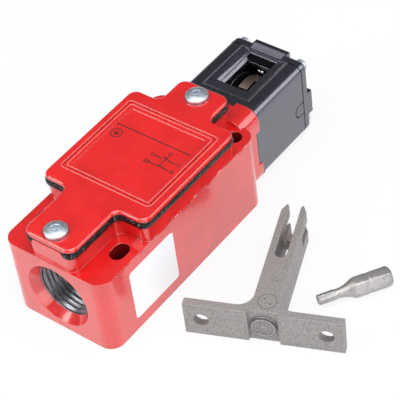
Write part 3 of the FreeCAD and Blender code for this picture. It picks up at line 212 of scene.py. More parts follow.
def red_paint():
    """Gloss red enamel with worn specks, paler edges as a painted highlight, painted shade in crevices and
    the mounting holes, and a rough parting line along the flanks with painted glints.
    """
    s = Shader("red_paint", (0.76, 0.012, 0.012), 0.3, Coat_Weight=1.0, Coat_Roughness=0.12, Coat_IOR=1.75)
    normal, edge = s.edges(0.0004)
    tone = s.mix(s.ramp(s.noise(90), 0.35, 0.65, 0, 1), (0.68, 0.010, 0.010), (0.78, 0.015, 0.014))
    worn = s.mix(s.ramp(s.noise(700), 0.71, 0.78, 0, 1), tone, (0.60, 0.02, 0.02))
    # the flanks lean in above the parting line at the level of the shelves
    parting, blend = 0.0295, 0.0005
    geometry = s.tree.nodes.new("ShaderNodeNewGeometry")
    side = s.ramp(s.math("ABSOLUTE", s.axis(geometry.outputs["True Normal"], "X")), 0.85, 0.95, 0.0, 1.0)
    height = s.axis(s.place, "Z")
    wander = s.math("ADD", height, s.ramp(s.noise(260, 2), 0.3, 0.7, -0.0007, 0.0007))
    above = s.math("MULTIPLY", side, s.ramp(wander, parting - blend, parting + blend, 0.0, 1.0))
    away = s.math("ABSOLUTE", s.math("SUBTRACT", wander, parting))
    line = s.math("MULTIPLY", side, s.ramp(away, 0.00012, 0.00036, 1.0, 0.0))
    chips = s.math("MULTIPLY", line, s.ramp(s.noise(900, 3), 0.50, 0.60, 0.0, 1.0))
    dark_chips = s.mix(chips, worn, (0.10, 0.008, 0.01))
    # painted glints: pale pink specks along the parting line
    bright = s.math("MULTIPLY", line, s.ramp(s.noise(620, 2), 0.56, 0.64, 0.0, 1.0))
    chips_and_glints = s.mix(bright, dark_chips, (0.95, 0.42, 0.42))
    # painted highlight: the edges are mixed to a paler red
    paint_with_edge_highlight = s.mix(edge, chips_and_glints, (0.80, 0.06, 0.055))
    # painted shade: crevices and the mounting-hole walls are mixed toward near black
    s.colour(s.mix(s.math("MULTIPLY", s.occlusion_shade(0.008), bore_shade(s)), (0.035, 0.003, 0.003), paint_with_edge_highlight))
    s.roughness(s.ramp(s.noise(240), 0.3, 0.7, 0.24, 0.36))
    lean = s.tree.nodes.new("ShaderNodeCombineXYZ")
    s.link(s.math("MULTIPLY", above, 0.62), lean.inputs["Z"])
    leaning = s.vector("ADD", normal, lean.outputs["Vector"])
    s.link(s.ramp(above, 0.0, 1.0, 1.0, 0.08), s.shader.inputs["Coat Weight"])
    s.link(s.ramp(above, 0.0, 1.0, 0.5, 0.15), s.shader.inputs["Specular IOR Level"])
    peel = s.bump(s.noise(420, 2), 0.12, 0.0003, s.vector("NORMALIZE", leaning))
    s.link(peel, s.shader.inputs["Coat Normal"])
    return s.material


def black_paint(name, roughness):
    """Satin black with grey flecks and greyer edges, which are a painted highlight."""
    s = Shader(name, (0.008, 0.008, 0.011), roughness, IOR=2.6, Specular_Tint=(0.86, 0.86, 1.0, 1),
               Coat_Weight=0.12, Coat_Roughness=0.2)
    normal, edge = s.edges(0.0003)
    tone = s.mix(s.ramp(s.noise(120), 0.3, 0.7, 0, 1), (0.004, 0.004, 0.006), (0.009, 0.009, 0.012))
    flecks = s.mix(s.ramp(s.noise(1500, 2), 0.72, 0.78, 0, 1), tone, (0.10, 0.10, 0.115))
    # painted highlight: the edges are mixed to grey
    s.colour(s.mix(edge, flecks, (0.07, 0.07, 0.09)))
    s.roughness(s.ramp(s.noise(500), 0.3, 0.7, roughness - 0.04, roughness + 0.06))
    s.bump(s.noise(1600, 2), 0.08, 0.0002, normal)
    return s.material


def metal(name, colour, roughness, grain=1400, strength=0.15):
    """Plated or turned metal with a fine grain and brighter edges, which are a painted highlight."""
    s = Shader(name, colour, roughness, metallic=1.0)
    normal, edge = s.edges(0.00025)
    dark = tuple(0.72 * c for c in colour)
    tone = s.mix(s.ramp(s.noise(grain * 0.3, 4), 0.3, 0.7, 0, 1), dark, colour)
    # painted highlight: the edges are mixed to a brighter colour
    s.colour(s.mix(edge, tone, tuple(min(1, 1.2 * c) for c in colour)))
    s.roughness(s.ramp(s.noise(grain), 0.3, 0.7, roughness - 0.07, roughness + 0.1))
    s.bump(s.noise(grain), strength, 0.0001, normal)
    return s.material


def sintered(name, level):
    """Grey sintered steel with pits and stains, and paler edges that are a painted highlight; level scales
    its lightness, and a low level gives a copy in painted shade.
    """
    s = Shader(name, (0.3, 0.29, 0.28), 0.5, metallic=0.4)
    normal, edge = s.edges(0.0003)
    grain = s.noise(2100, 4)
    low = tuple(level * c for c in (0.235, 0.222, 0.218))
    high = tuple(level * c for c in (0.44, 0.42, 0.415))
    tone = s.mix(s.ramp(grain, 0.32, 0.68, 0, 1), low, high)
    pits = s.mix(s.ramp(s.cells(1500), 0.0, 0.10, 1, 0), tone, low)
    patches = s.mix(s.ramp(s.noise(260, 2), 0.58, 0.72, 0, 0.35), pits, low)
    # painted highlight: the edges are mixed to a paler grey
    s.colour(s.mix(edge, patches, tuple(level * c for c in (0.52, 0.50, 0.495))))
    s.roughness(s.ramp(grain, 0.3, 0.7, 0.62, 0.44))
    s.bump(grain, 0.3, 0.00016, normal)
    return s.material


def rubber():
    """Black rubber with pale specks that are painted highlights."""
    s = Shader("gasket_rubber", (0.006, 0.006, 0.007), 0.34, IOR=1.33)
    # painted highlight: pale grey specks on the black rubber
    tone = s.mix(s.ramp(s.noise(1900, 4), 0.60, 0.68, 0, 1), (0.004, 0.004, 0.005), (0.24, 0.25, 0.28))
    s.colour(tone)
    s.bump(s.noise(1300, 3), 0.6, 0.0004)
    return s.material


def matt_black():
    """Near-black for dark joint lines, and painted shade inside the slot's throat."""
    s = Shader("joint_and_shade_black", (0.002, 0.002, 0.002), 0.9, Specular_IOR_Level=0.1)
    s.colour(s.mix(s.ramp(s.noise(800), 0.4, 0.6, 0, 1), (0.0015, 0.0015, 0.0018), (0.003, 0.003, 0.0035)))
    return s.material


def plastic(name, colour, roughness=0.5):
    """Moulded plastic, ink or paint with a faint mottle."""
    s = Shader(name, colour, roughness)
    dark = tuple(0.85 * c for c in colour)
    s.colour(s.mix(s.ramp(s.noise(200), 0.3, 0.7, 0, 1), dark, colour))
    s.bump(s.noise(2200, 2), 0.12, 0.0001)
    return s.material


def paper():
    """White sticker stock with a faint glow, which is painted light."""
    # painted light: a faint emission brightens the sticker
    s = Shader("sticker_paper", (0.92, 0.93, 0.95), 0.45, Emission_Color=(0.9, 0.93, 1.0, 1),
               Emission_Strength=0.04)
    s.colour(s.mix(s.ramp(s.noise(900, 4), 0.3, 0.7, 0, 1), (0.90, 0.91, 0.93), (0.94, 0.95, 0.97)))
    s.bump(s.noise(1800, 2), 0.08, 0.0001)
    return s.material


RED = red_paint()
BLACK = black_paint("black_paint", 0.22)
BLACK_PLASTIC = black_paint("black_plastic", 0.28)
# pale grey for painted highlight lines on the head's creases and slot frame
HIGHLIGHT_GREY = plastic("highlight_grey", (0.16, 0.16, 0.18), 0.4)
# pale red for painted highlight lines round the plate
HIGHLIGHT_RED = plastic("highlight_red", (0.86, 0.16, 0.15), 0.22)
ZINC = metal("zinc_plate", (0.80, 0.87, 0.95), 0.46, 900)
BRONZE = metal("sintered_bronze", (0.34, 0.25, 0.21), 0.42, 2400, strength=0.4)
BUSH = metal("bush_bronze", (0.66, 0.46, 0.24), 0.35)
BRIGHT = metal("bright_steel", (0.80, 0.80, 0.80), 0.16)
SILVER = metal("silvered_copper", (0.82, 0.76, 0.62), 0.28)
BIT_STEEL = metal("bit_steel", (0.57, 0.555, 0.545), 0.5, 3600, strength=0.08)
KEY_STEEL = sintered("sintered_steel", 1.0)
# a darker copy of the key steel, painted shade for its grooves
KEY_GROOVE_SHADE = sintered("sintered_groove_shade", 0.3)
RUBBER = rubber()
# near-black for joint lines and painted shade in the slot's throat
JOINT_AND_SHADE_BLACK = matt_black()
BLOCK = plastic("block_plastic", (0.62, 0.59, 0.52))
CARRIER = plastic("carrier_plastic", (0.03, 0.032, 0.035), 0.4)
PAPER = paper()
THREAD = metal("bare_thread", (0.24, 0.25, 0.27), 0.3, 1800)
INK = plastic("print_ink", (0.02, 0.018, 0.02), 0.5)

CAD_MATERIALS = {
    "housing": RED,
    "cover": RED,
    "cover_gasket": RUBBER,
    "cover_screws": ZINC,
    "head_body": BLACK,
    "top_slot_frame": BLACK_PLASTIC,
    "head_end_cover": BLACK,
    "head_screws": ZINC,
    "head_seal": RUBBER,
    "cam_wheel": BRONZE,
    "wheel_flanges": BLACK_PLASTIC,
    "wheel_axle": BRIGHT,
    "drive_pin": BRIGHT,
    "plunger": BRIGHT,
    "plunger_bush": BUSH,
    "contact_base": BLOCK,
    "contact_cap": BLOCK,
    "contact_carrier": CARRIER,
    "safety_bridge": SILVER,
    "signal_bridge": SILVER,
    "fixed_contacts": SILVER,
    "terminal_screws": ZINC,
    "terminal_clamps": ZINC,
    "return_spring": BRIGHT,
    "block_screws": ZINC,
    "earth_clamp": ZINC,
    "earth_screw": ZINC,
    "side_label": PAPER,
    "actuator_key": KEY_STEEL,
    "driver_bit": BIT_STEEL,
}
for node, material in CAD_MATERIALS.items():
    mesh = frame["nodes"][node].data
    mesh.materials.clear()
    mesh.materials.append(material)


# ------------------------------------------------------------------ mesh helpers


def finish_piece(mesh_data, name, material, body, smooth=True):
    """Turns a bmesh into a piece that rides on a body."""
    bmesh.ops.remove_doubles(mesh_data, verts=mesh_data.verts, dist=1e-7)
    bmesh.ops.recalc_face_normals(mesh_data, faces=mesh_data.faces)
    mesh = bpy.data.meshes.new(name)
    mesh_data.to_mesh(mesh)
    mesh_data.free()
    for face in mesh.polygons:
        face.use_smooth = smooth
    mesh.materials.append(material)
    piece = bpy.data.objects.new(name, mesh)
    scene.collection.objects.link(piece)
    if smooth:
        mesh.set_sharp_from_angle(angle=math.radians(35))
    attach(piece, body)
    return piece


def lathe(mesh_data, rings, frame_matrix, steps=72):
    """Skins rings of (height, radius function of angle) along local Z; a radius of None is a pole."""
    rows = []
    for height, radius in rings:
        if radius is None:
            rows.append([mesh_data.verts.new(frame_matrix @ Vector((0, 0, height)))])
            continue
        row = []
        for n in range(steps):
            angle = 2 * math.pi * n / steps
            r = radius(angle) if callable(radius) else radius
            spot = Vector((r * math.cos(angle), r * math.sin(angle), height))
            row.append(mesh_data.verts.new(frame_matrix @ spot))
        rows.append(row)
    for low, high in zip(rows, rows[1:]):
        for n in range(steps):
            m = (n + 1) % steps
            corners = [low[n % len(low)], low[m % len(low)], high[m % len(high)], high[n % len(high)]]
            unique = list(dict.fromkeys(corners))
            mesh_data.faces.new(unique)


def bridge(mesh_data, first, second, skip=()):
    """Skins the strip between two closed loops of vertices."""
    for n in range(len(first)):
        if n not in skip:
            m = (n + 1) % len(first)
            mesh_data.faces.new((first[n], first[m], second[m], second[n]))


def close_up(mesh_data, loops):
    """Skins each loop to the next and the last to the first."""
    for n, loop in enumerate(loops):
        bridge(mesh_data, loop, loops[(n + 1) % len(loops)])


def rounded_rectangle(low, high, radius, steps=6):
    """Points round a rectangle with rounded corners, anticlockwise."""
    points = []
    for x, y, start in ((high[0] - radius, high[1] - radius, 0), (low[0] + radius, high[1] - radius, 90),
                        (low[0] + radius, low[1] + radius, 180), (high[0] - radius, low[1] + radius, 270)):
        for n in range(steps + 1):
            angle = math.radians(start + 90 * n / steps)
            points.append(Vector((x + radius * math.cos(angle), y + radius * math.sin(angle))))
    return points


def add_stroke(mesh_data, start, end, width, low, high):
    """A thin flat bar between two points in the XY plane."""
    a, b = Vector(start), Vector(end)
    side = (b - a).normalized().orthogonal() * width / 2
    base = [mesh_data.verts.new((*p, low)) for p in (a + side, b + side, b - side, a - side)]
    top = [mesh_data.verts.new((*p, high)) for p in (a + side, b + side, b - side, a - side)]
    mesh_data.faces.new(base[::-1])
    mesh_data.faces.new(top)
    bridge(mesh_data, base, top)


def add_ring(mesh_data, outer, inner, low, high, matrix, steps=64):
    """A flat ring with a square section."""
    loops = []
    for radius, height in ((inner, low), (outer, low), (outer, high), (inner, high)):
        turns = [2 * math.pi * n / steps for n in range(steps)]
        spots = [(radius * math.cos(turn), radius * math.sin(turn), height) for turn in turns]
        loops.append([mesh_data.verts.new(matrix @ Vector(spot)) for spot in spots])
    close_up(mesh_data, loops)


# ------------------------------------------------------------------ conduit thread


def make_thread():
    """The bare ridges of the conduit thread, standing inward from the bore."""
    entry = mount("conduit_entry")
    root = entry["dims"]["r_mm"] * MM - 0.03 * MM
    length = entry["dims"]["length_mm"] * MM
    centre = Vector(entry["pos_m"])
    pitch, depth, shell = 1.814 * MM, 0.95 * MM, 0.2 * MM
    steps, per_turn = 96, 10
    count = int(length / pitch * per_turn)
    data = bmesh.new()

    def circle(along, radius):
        row = []
        for n in range(steps):
            angle = 2 * math.pi * n / steps
            r = radius(n)
            row.append(data.verts.new(centre + Vector((r * math.cos(angle), along, r * math.sin(angle)))))
        return row

    rows = []
    for k in range(count + 1):
        along = -length / 2 + length * k / count
        fade = min(1.0, k / 4, (count - k) / 4)

        def ridge(n):
            phase = (along / pitch + n / steps) % 1.0
            return root - shell - depth * (1 - abs(2 * phase - 1)) * fade

        rows.append(circle(along, ridge))
    rows += [circle(along, lambda n: root) for along in (length / 2, -length / 2)]
    close_up(data, rows)
    finish_piece(data, "conduit_thread", THREAD, "switch")


# ------------------------------------------------------------------ cover screws


def star(radius, depth):
    """A six-lobed outline."""
    return lambda angle: radius * (1 + depth * math.cos(6 * angle))


def make_cover_screws():
    """Two domed screws with lobed pin sockets, and the dark seats round their heads."""
    low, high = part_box("cover_screws")
    cover_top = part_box("cover")[1].z
    inset = 4.2 * MM
    near, far = low.y + inset, high.y - inset
    head, rise, shank = 3.85 * MM, 0.85 * MM, 1.9 * MM
    head_low = cover_top - 0.9 * MM
    crown = cover_top + 1.05 * MM + rise
    floor = crown - 1.6 * MM
    mouth = 1.55 * MM
    socket = [(floor + 1.1 * MM, None), (floor + 1.1 * MM, 0.35 * MM), (floor + 0.9 * MM, 0.5 * MM),
              (floor, 0.5 * MM), (floor, star(1.25 * MM, 0.13)), (crown - 0.14 * MM, star(1.3 * MM, 0.13)),
              (crown - 0.04 * MM, star(1.45 * MM, 0.10))]
    radii = [mouth + (head - mouth) * n / 8 for n in range(1, 9)]
    dome = [(crown - rise * (radius / head) ** 3, radius) for radius in radii]
    underside = [(crown - rise - 0.25 * MM, head * 1.005), (head_low, head * 0.99), (head_low, shank),
                 (low.z + 0.4 * MM, shank), (low.z, 1.3 * MM), (low.z, None)]
    data = bmesh.new()
    for y, turn in ((near, 0.3), (far, 1.1)):
        place = Matrix.Translation((0, y, 0)) @ Matrix.Rotation(turn, 4, "Z")
        lathe(data, socket + dome + underside, place)
    piece = finish_piece(data, "cover_screw_set", ZINC, "switch")
    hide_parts("cover_screws")
    seats = bmesh.new()
    for y in (near, far):
        add_ring(seats, 4.52 * MM, 3.98 * MM, cover_top - 1.2 * MM, cover_top - 0.1 * MM,
                 Matrix.Translation((0, y, 0)))
    finish_piece(seats, "screw_seats", RED, "switch")


# ------------------------------------------------------------------ gasket


def cross_path(inset, step=0.0006):
    """Points round the cover's cross outline, moved in by an inset, with rounded corners."""
    low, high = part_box("cover")
    half_narrow, wide_start, wide_stop = 9.9 * MM, -23.3 * MM, 24.0 * MM
    wide, narrow = high.x - inset, half_narrow - inset
    near, far = low.y + inset, high.y - inset
    start, stop = wide_start + inset, wide_stop - inset
    corner, bend = 3.2 * MM - inset, 2.8 * MM + inset
    arc_steps = 8
    right = [(narrow, near, corner), (narrow, start, bend), (wide, start, corner), (wide, stop, corner),
             (narrow, stop, bend), (narrow, far, corner)]
    spots = right + [(-x, y, r) for x, y, r in reversed(right)]
    path = []
    for n, (x, y, radius) in enumerate(spots):
        here = Vector((x, y))
        before = (Vector(spots[n - 1][:2]) - here).normalized()
        after = (Vector(spots[(n + 1) % len(spots)][:2]) - here).normalized()
        centre = here + (before + after) * radius
        first, last = here + before * radius - centre, here + after * radius - centre
        turn = first.angle_signed(last)
        for k in range(arc_steps + 1):
            spin = Matrix.Rotation(-turn * k / arc_steps, 2)
            path.append(centre + spin @ first)
    dense = []
    for n, point in enumerate(path):
        following = path[(n + 1) % len(path)]
        pieces = max(1, int((following - point).length / step))
        dense += [point.lerp(following, k / pieces) for k in range(pieces)]
    return dense


def clamp(value):
    """Keeps a share between 0 and 1."""
    return min(1.0, max(0.0, value))


def share_of_bend(point):
    """0 on the straight sides and the near end, 1 where the bead shows whole."""
    side_x, bend_y, end_y, lip_half = 20.0 * MM, 21.3 * MM, -44.4 * MM, 7 * MM
    side = clamp((side_x - abs(point.x)) / (1.2 * MM))
    inside = clamp((abs(point.y) - bend_y) / (1.5 * MM))
    front = clamp((point.y - end_y) / (0.8 * MM))
    return max(side, inside) * (front if abs(point.x) < lip_half else 1.0)


def make_gasket():
    """A rubber bead that bulges past the rim at the bends and lies behind a lip elsewhere."""
    rim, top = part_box("cover_gasket")[0].z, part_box("cover")[1].z
    path = cross_path(0.25 * MM)
    shelf = 0.56
    # millimetres inward, share of the height
    section = [(2.0, 0.0), (0.1, 0.0), (-0.40, 0.10), (-0.62, 0.30), (-0.62, 0.62), (-0.50, 0.85),
               (-0.22, 1.0), (0.3, 1.0), (0.3, shelf), (2.0, shelf)]
    data = bmesh.new()
    rows = []
    for n, point in enumerate(path):
        along = (path[(n + 1) % len(path)] - path[n - 1]).normalized()
        inward = Vector((-along.y, along.x))
        bend = share_of_bend(point)
        uneven = noise.noise(Vector((point.x, point.y, 0)) * 420) * 0.16 * bend
        ceiling = top - (1.35 - 0.25 * bend + uneven) * MM
        row = []
        for offset, share in section:
            push = offset * (0.75 + 0.25 * bend) - uneven if offset < 0 else offset
            level = rim + 1.55 * MM if share == shelf else rim + (ceiling - rim) * share
            row.append(data.verts.new((*(point + inward * push * MM), level)))
        rows.append(row)
    close_up(data, rows)
    piece = finish_piece(data, "gasket_bead", RUBBER, "switch")
    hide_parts("cover_gasket")


def make_rim_lips():
    """The housing's raised lip along both sides and the near end, which hides the bead's foot."""
    low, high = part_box("housing")
    near = low.y + 0.05 * MM
    # start, stop, direction inward, height
    runs = [((high.x * sign, -20.9 * MM), (high.x * sign, 21.6 * MM), (-sign, 0), 1.3 * MM)
            for sign in (-1, 1)]
    runs.append(((-6.6 * MM, near), (6.6 * MM, near), (0, 1), 2.35 * MM))
    section = ((0.0, -0.02), (0.0, 0.82), (0.06, 0.94), (0.18, 1.0), (0.30, 1.0), (0.30, -0.02))
    steps = 40
    data = bmesh.new()
    for start, stop, inward, height in runs:
        start, stop, inward = Vector(start), Vector(stop), Vector(inward)
        rows = []
        for n in range(steps + 1):
            fade = min(1.0, n / 4, (steps - n) / 4)
            tall = height * math.sin(fade * math.pi / 2)
            spot = start.lerp(stop, n / steps)
            rows.append([data.verts.new((*(spot + inward * depth * MM), high.z + tall * level))
                         for depth, level in section])
        for a, b in zip(rows, rows[1:]):
            bridge(data, a, b)
    finish_piece(data, "rim_lips", RED, "switch")


# ------------------------------------------------------------------ nameplate print


def make_print():
    """Generic marks on the sunk panel: a rule, an earth sign and a contact diagram with plain numbers."""
    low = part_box("cover")[1].z - 0.35 * MM
    high = low + 0.03 * MM
    data = bmesh.new()

    def stroke(x1, y1, x2, y2, width=0.38):
        add_stroke(data, (x1 * MM, y1 * MM), (x2 * MM, y2 * MM), width * MM, low, high)

    def circle(x, y, outer, inner):
        add_ring(data, outer * MM, inner * MM, low, high, Matrix.Translation((x * MM, y * MM, 0)))

    # millimetres from here on
    stroke(-15.8, 8.1, 14.8, 8.1, 0.36)
    earth_x, earth_y = -12.4, 4.3
    circle(earth_x, earth_y, 2.1, 1.78)
    stroke(earth_x, earth_y + 1.25, earth_x, earth_y + 0.1)
    for half, drop in ((1.1, 0.1), (0.7, -0.5), (0.3, -1.1)):
        stroke(earth_x - half, earth_y + drop, earth_x + half, earth_y + drop)
    stem_x, middle_y = 9.1, 0.4
    for row, tilt in ((2.0, 0.9), (-1.4, 0.0)):
        y = middle_y + row
        stroke(stem_x - 4.0, y, stem_x - 1.3, y)
        stroke(stem_x - 1.5, y + tilt, stem_x + 1.5, y + 0.35)
        stroke(stem_x + 1.3, y, stem_x + 4.0, y)
    stroke(stem_x, middle_y + 4.4, stem_x, middle_y - 1.4, 0.3)
    circle(stem_x, middle_y + 5.0, 0.75, 0.5)
    finish_piece(data, "plate_print", INK, "switch", smooth=False)
    for number, x, y in (("11", -6.0, 1.4), ("12", 4.4, 1.4), ("23", -6.0, -2.0), ("24", 4.4, -2.0)):
        curve = bpy.data.curves.new("plate_number_" + number, "FONT")
        curve.body = number
        curve.size = 2.1 * MM
        curve.offset = 0.05 * MM
        curve.extrude = 0.015 * MM
        curve.materials.append(INK)
        text = bpy.data.objects.new("plate_number_" + number, curve)
        scene.collection.objects.link(text)
        text.location = ((stem_x + x) * MM, (middle_y + y) * MM, low + 0.02 * MM)
        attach(text, "switch")


# ------------------------------------------------------------------ sticker


def make_sticker():
    """The bare sticker on the flank, with round corners and a little taller than its solid."""
    low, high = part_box("side_label")
    low.z, high.z = low.z - 0.8 * MM, high.z + 0.4 * MM
    outline = rounded_rectangle((low.y, low.z), (high.y, high.z), 1.3 * MM, 8)
    data = bmesh.new()
    inner = [data.verts.new((low.x, *spot)) for spot in outline]
    outer = [data.verts.new((high.x, *spot)) for spot in outline]
    data.faces.new(inner[::-1])
    data.faces.new(outer)
    bridge(data, inner, outer)
    piece = finish_piece(data, "blank_sticker", PAPER, "switch", smooth=False)
    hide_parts("side_label")


# ------------------------------------------------------------------ driver bit


def hexagon(flat, limit):
    """A hexagon outline whose corners are cut by a circle."""
    def radius(angle):
        step = math.radians(60)
        return min(limit, flat / math.cos(((angle + step / 2) % step) - step / 2))
    return radius


def make_bit():
    """The driver bit lying on one of its flats: grooved hexagon, waisted neck and lobed pin-hole tip."""
    flat, wide, groove = 3.175 * MM, 3.56 * MM, 3.32 * MM
    lobe, bore, length = 1.6 * MM, 0.5 * MM, 25.0 * MM
    place = (Matrix.Translation((77.3 * MM, 25.3 * MM, flat)) @ Matrix.Rotation(math.radians(237), 4, "Z")
             @ Matrix.Rotation(math.radians(90), 4, "Y"))
    notch = 7.1 * MM
    shank = [(0.0, None), (0.0, 2.7 * MM), (0.5 * MM, hexagon(flat, 3.15 * MM)),
             (1.0 * MM, hexagon(flat, wide)), (notch, hexagon(flat, wide)),
             (notch + 0.2 * MM, hexagon(flat, groove)),
             (notch + 0.9 * MM, hexagon(flat, groove)), (notch + 1.1 * MM, hexagon(flat, wide)),
             (12.3 * MM, hexagon(flat, wide)), (13.0 * MM, hexagon(flat, 3.2 * MM))]
    neck = [((13.2 + 5.2 * n / 8) * MM, (1.6 + 1.45 * (1 - n / 8) ** 1.9) * MM) for n in range(1, 9)]
    tip = [(18.7 * MM, star(lobe, 0.03)), (19.4 * MM, star(lobe, 0.13)), (24.75 * MM, star(1.56 * MM, 0.13)),
           (length, star(1.36 * MM, 0.12)), (length, bore), (23.2 * MM, bore), (23.2 * MM, None)]
    data = bmesh.new()
    lathe(data, shank + neck + tip, place, 96)
    piece = finish_piece(data, "security_bit", BIT_STEEL, "bit")
    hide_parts("driver_bit")


# ------------------------------------------------------------------ key marks and latch pin


def key_matrix():
    """Where the actuator tongue lies: the middle of its plate's back edge, on the floor."""
    return Matrix.Translation((57.8 * MM, -16.6 * MM, 0)) @ Matrix.Rotation(math.radians(22.1), 4, "Z")


def make_key_marks():
    """The boss ring in the front recess and the mould mark on the upper edge; the groove round the boss and
    the mould mark are thin dark rings of painted shade.
    """
    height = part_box("actuator_key")[1].z
    data = bmesh.new()
    upright = (key_matrix() @ Matrix.Translation((0, 0.4 * MM, height / 2))
               @ Matrix.Rotation(math.pi / 2, 4, "X"))
    add_ring(data, 3.95 * MM, 3.35 * MM, -0.1 * MM, 0.42 * MM, upright)
    add_ring(data, 2.55 * MM, 2.25 * MM, -0.1 * MM, 0.36 * MM, upright)
    for turn in range(6):
        spoke = upright @ Matrix.Rotation(math.radians(60 * turn + 10), 4, "Z")
        add_ring(data, 0.42 * MM, 0.18 * MM, -0.1 * MM, 0.36 * MM,
                 spoke @ Matrix.Translation((1.35 * MM, 0, 0)), 16)
    finish_piece(data, "key_rings", KEY_STEEL, "tongue")
    # painted shade: thin dark rings stand for the shade in the grooves
    marks = bmesh.new()
    add_ring(marks, 4.25 * MM, 3.9 * MM, -0.1 * MM, 0.30 * MM, upright)
    top = key_matrix() @ Matrix.Translation((0.5 * MM, 5.5 * MM, height))
    add_ring(marks, 3.08 * MM, 2.92 * MM, -0.1 * MM, 0.03 * MM, top)
    for x, y in ((-1.0, 0.9), (1.1, -1.0)):
        add_ring(marks, 0.3 * MM, 0.08 * MM, -0.1 * MM, 0.04 * MM,
                 top @ Matrix.Translation((x * MM, y * MM, 0)), 16)
    finish_piece(marks, "key_groove_shade", KEY_GROOVE_SHADE, "tongue")


def make_latch_pin():
    """A bright cross pin sunk in the wall beyond the wheel, grooved in the middle."""
    full, neck, tip = 0.75 * MM, 0.55 * MM, 0.5 * MM
    profile = [(0, None), (0, tip), (0.25 * MM, full), (1.1 * MM, full), (1.25 * MM, neck), (1.45 * MM, neck),
               (1.6 * MM, full), (2.4 * MM, full), (2.65 * MM, tip), (2.65 * MM, None)]
    data = bmesh.new()
    place = Matrix.Translation((-1.8 * MM, 66.3 * MM, 24.2 * MM)) @ Matrix.Rotation(math.pi / 2, 4, "Y")
    lathe(data, profile, place, 32)
    finish_piece(data, "latch_pin", BRIGHT, "switch")


# ------------------------------------------------------------------ plate frame


def add_bead(mesh_data, path, width, height, lift, closed=True, sides=8):
    """A half-round bead on a path; lift(point, up) gives the place in space."""
    rows = []
    for n, point in enumerate(path):
        following = path[(n + 1) % len(path)] if closed or n + 1 < len(path) else point
        before = path[n - 1] if closed or n else point
        along = (following - before).normalized()
        across = Vector((-along.y, along.x))
        row = []
        for k in range(sides + 1):
            angle = math.pi * k / sides
            spot = point + across * (math.cos(angle) * width / 2)
            row.append(mesh_data.verts.new(lift(spot, math.sin(angle) * height)))
        rows.append(row)
    if closed:
        close_up(mesh_data, rows)
    else:
        for a, b in zip(rows, rows[1:]):
            bridge(mesh_data, a, b)
        mesh_data.faces.new(rows[0])
        mesh_data.faces.new(rows[-1][::-1])


def make_plate_frame():
    """Two fine raised lines round the sunk panel, in pale red as a painted highlight."""
    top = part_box("cover")[1].z - 0.02 * MM
    middle_y = 0.85 * MM
    data = bmesh.new()
    for inset, radius in ((0.0, 1.5), (1.45, 0.9)):
        half_x, half_y = (18.2 - inset) * MM, (18.1 - inset) * MM
        path = rounded_rectangle((-half_x, middle_y - half_y), (half_x, middle_y + half_y), radius * MM)
        add_bead(data, path, 0.42 * MM, 0.2 * MM, lambda p, up: (p.x, p.y, top + up))
    finish_piece(data, "plate_frame", HIGHLIGHT_RED, "switch")


# ------------------------------------------------------------------ head details


def make_head_seams():
    """Dark joint lines between the head, its end cover and the cover's side tabs, and pale grey lines on the
    corner creases that are painted highlights.
    """
    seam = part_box("head_body")[1].y
    half, middle_z = 15.0 * MM, 15.8 * MM
    reach = 0.14 * MM
    data = bmesh.new()

    def square(growth, radius):
        side = half + growth
        return rounded_rectangle((-side, middle_z - side), (side, middle_z + side), radius)

    outline, inner = square(0.05 * MM, 3.0 * MM), square(-0.1 * MM, 2.9 * MM)
    close_up(data, [[data.verts.new((p.x, y, p.y)) for p in points]
                    for points, y in ((inner, seam - reach), (outline, seam - reach),
                                      (outline, seam + reach), (inner, seam + reach))])
    tab_y, tab_high, tab_low = 65.9 * MM, 15.75 * MM, 10.75 * MM
    tab_middle = (tab_high + tab_low) / 2
    tab = [Vector((seam, tab_high)), Vector((tab_y, tab_high))]
    for n in range(1, 9):
        angle = math.radians(90 + 180 * n / 9)
        tab.append(Vector((tab_y + 2.25 * MM * math.cos(angle), tab_middle + 2.5 * MM * math.sin(angle))))
    tab += [Vector((tab_y, tab_low)), Vector((seam, tab_low))]
    for sign in (-1, 1):
        add_bead(data, tab, 0.3 * MM, 0.05 * MM, lambda p, up: (sign * (half + up), p.x, p.y),
                 closed=False, sides=3)
    finish_piece(data, "head_seams", JOINT_AND_SHADE_BLACK, "switch", smooth=False)
    # painted highlight: pale grey lines on the corner creases
    crease_highlight = bmesh.new()
    path = [Vector((47.6 * MM, 3.2 * MM)), Vector((47.6 * MM, 28.2 * MM))]
    for x in (-half, half):
        add_bead(crease_highlight, path, 0.34 * MM, 0.05 * MM, lambda p, up: (x + math.copysign(up, x), p.x, p.y),
                 closed=False)
    finish_piece(crease_highlight, "head_crease_highlights", HIGHLIGHT_GREY, "switch")


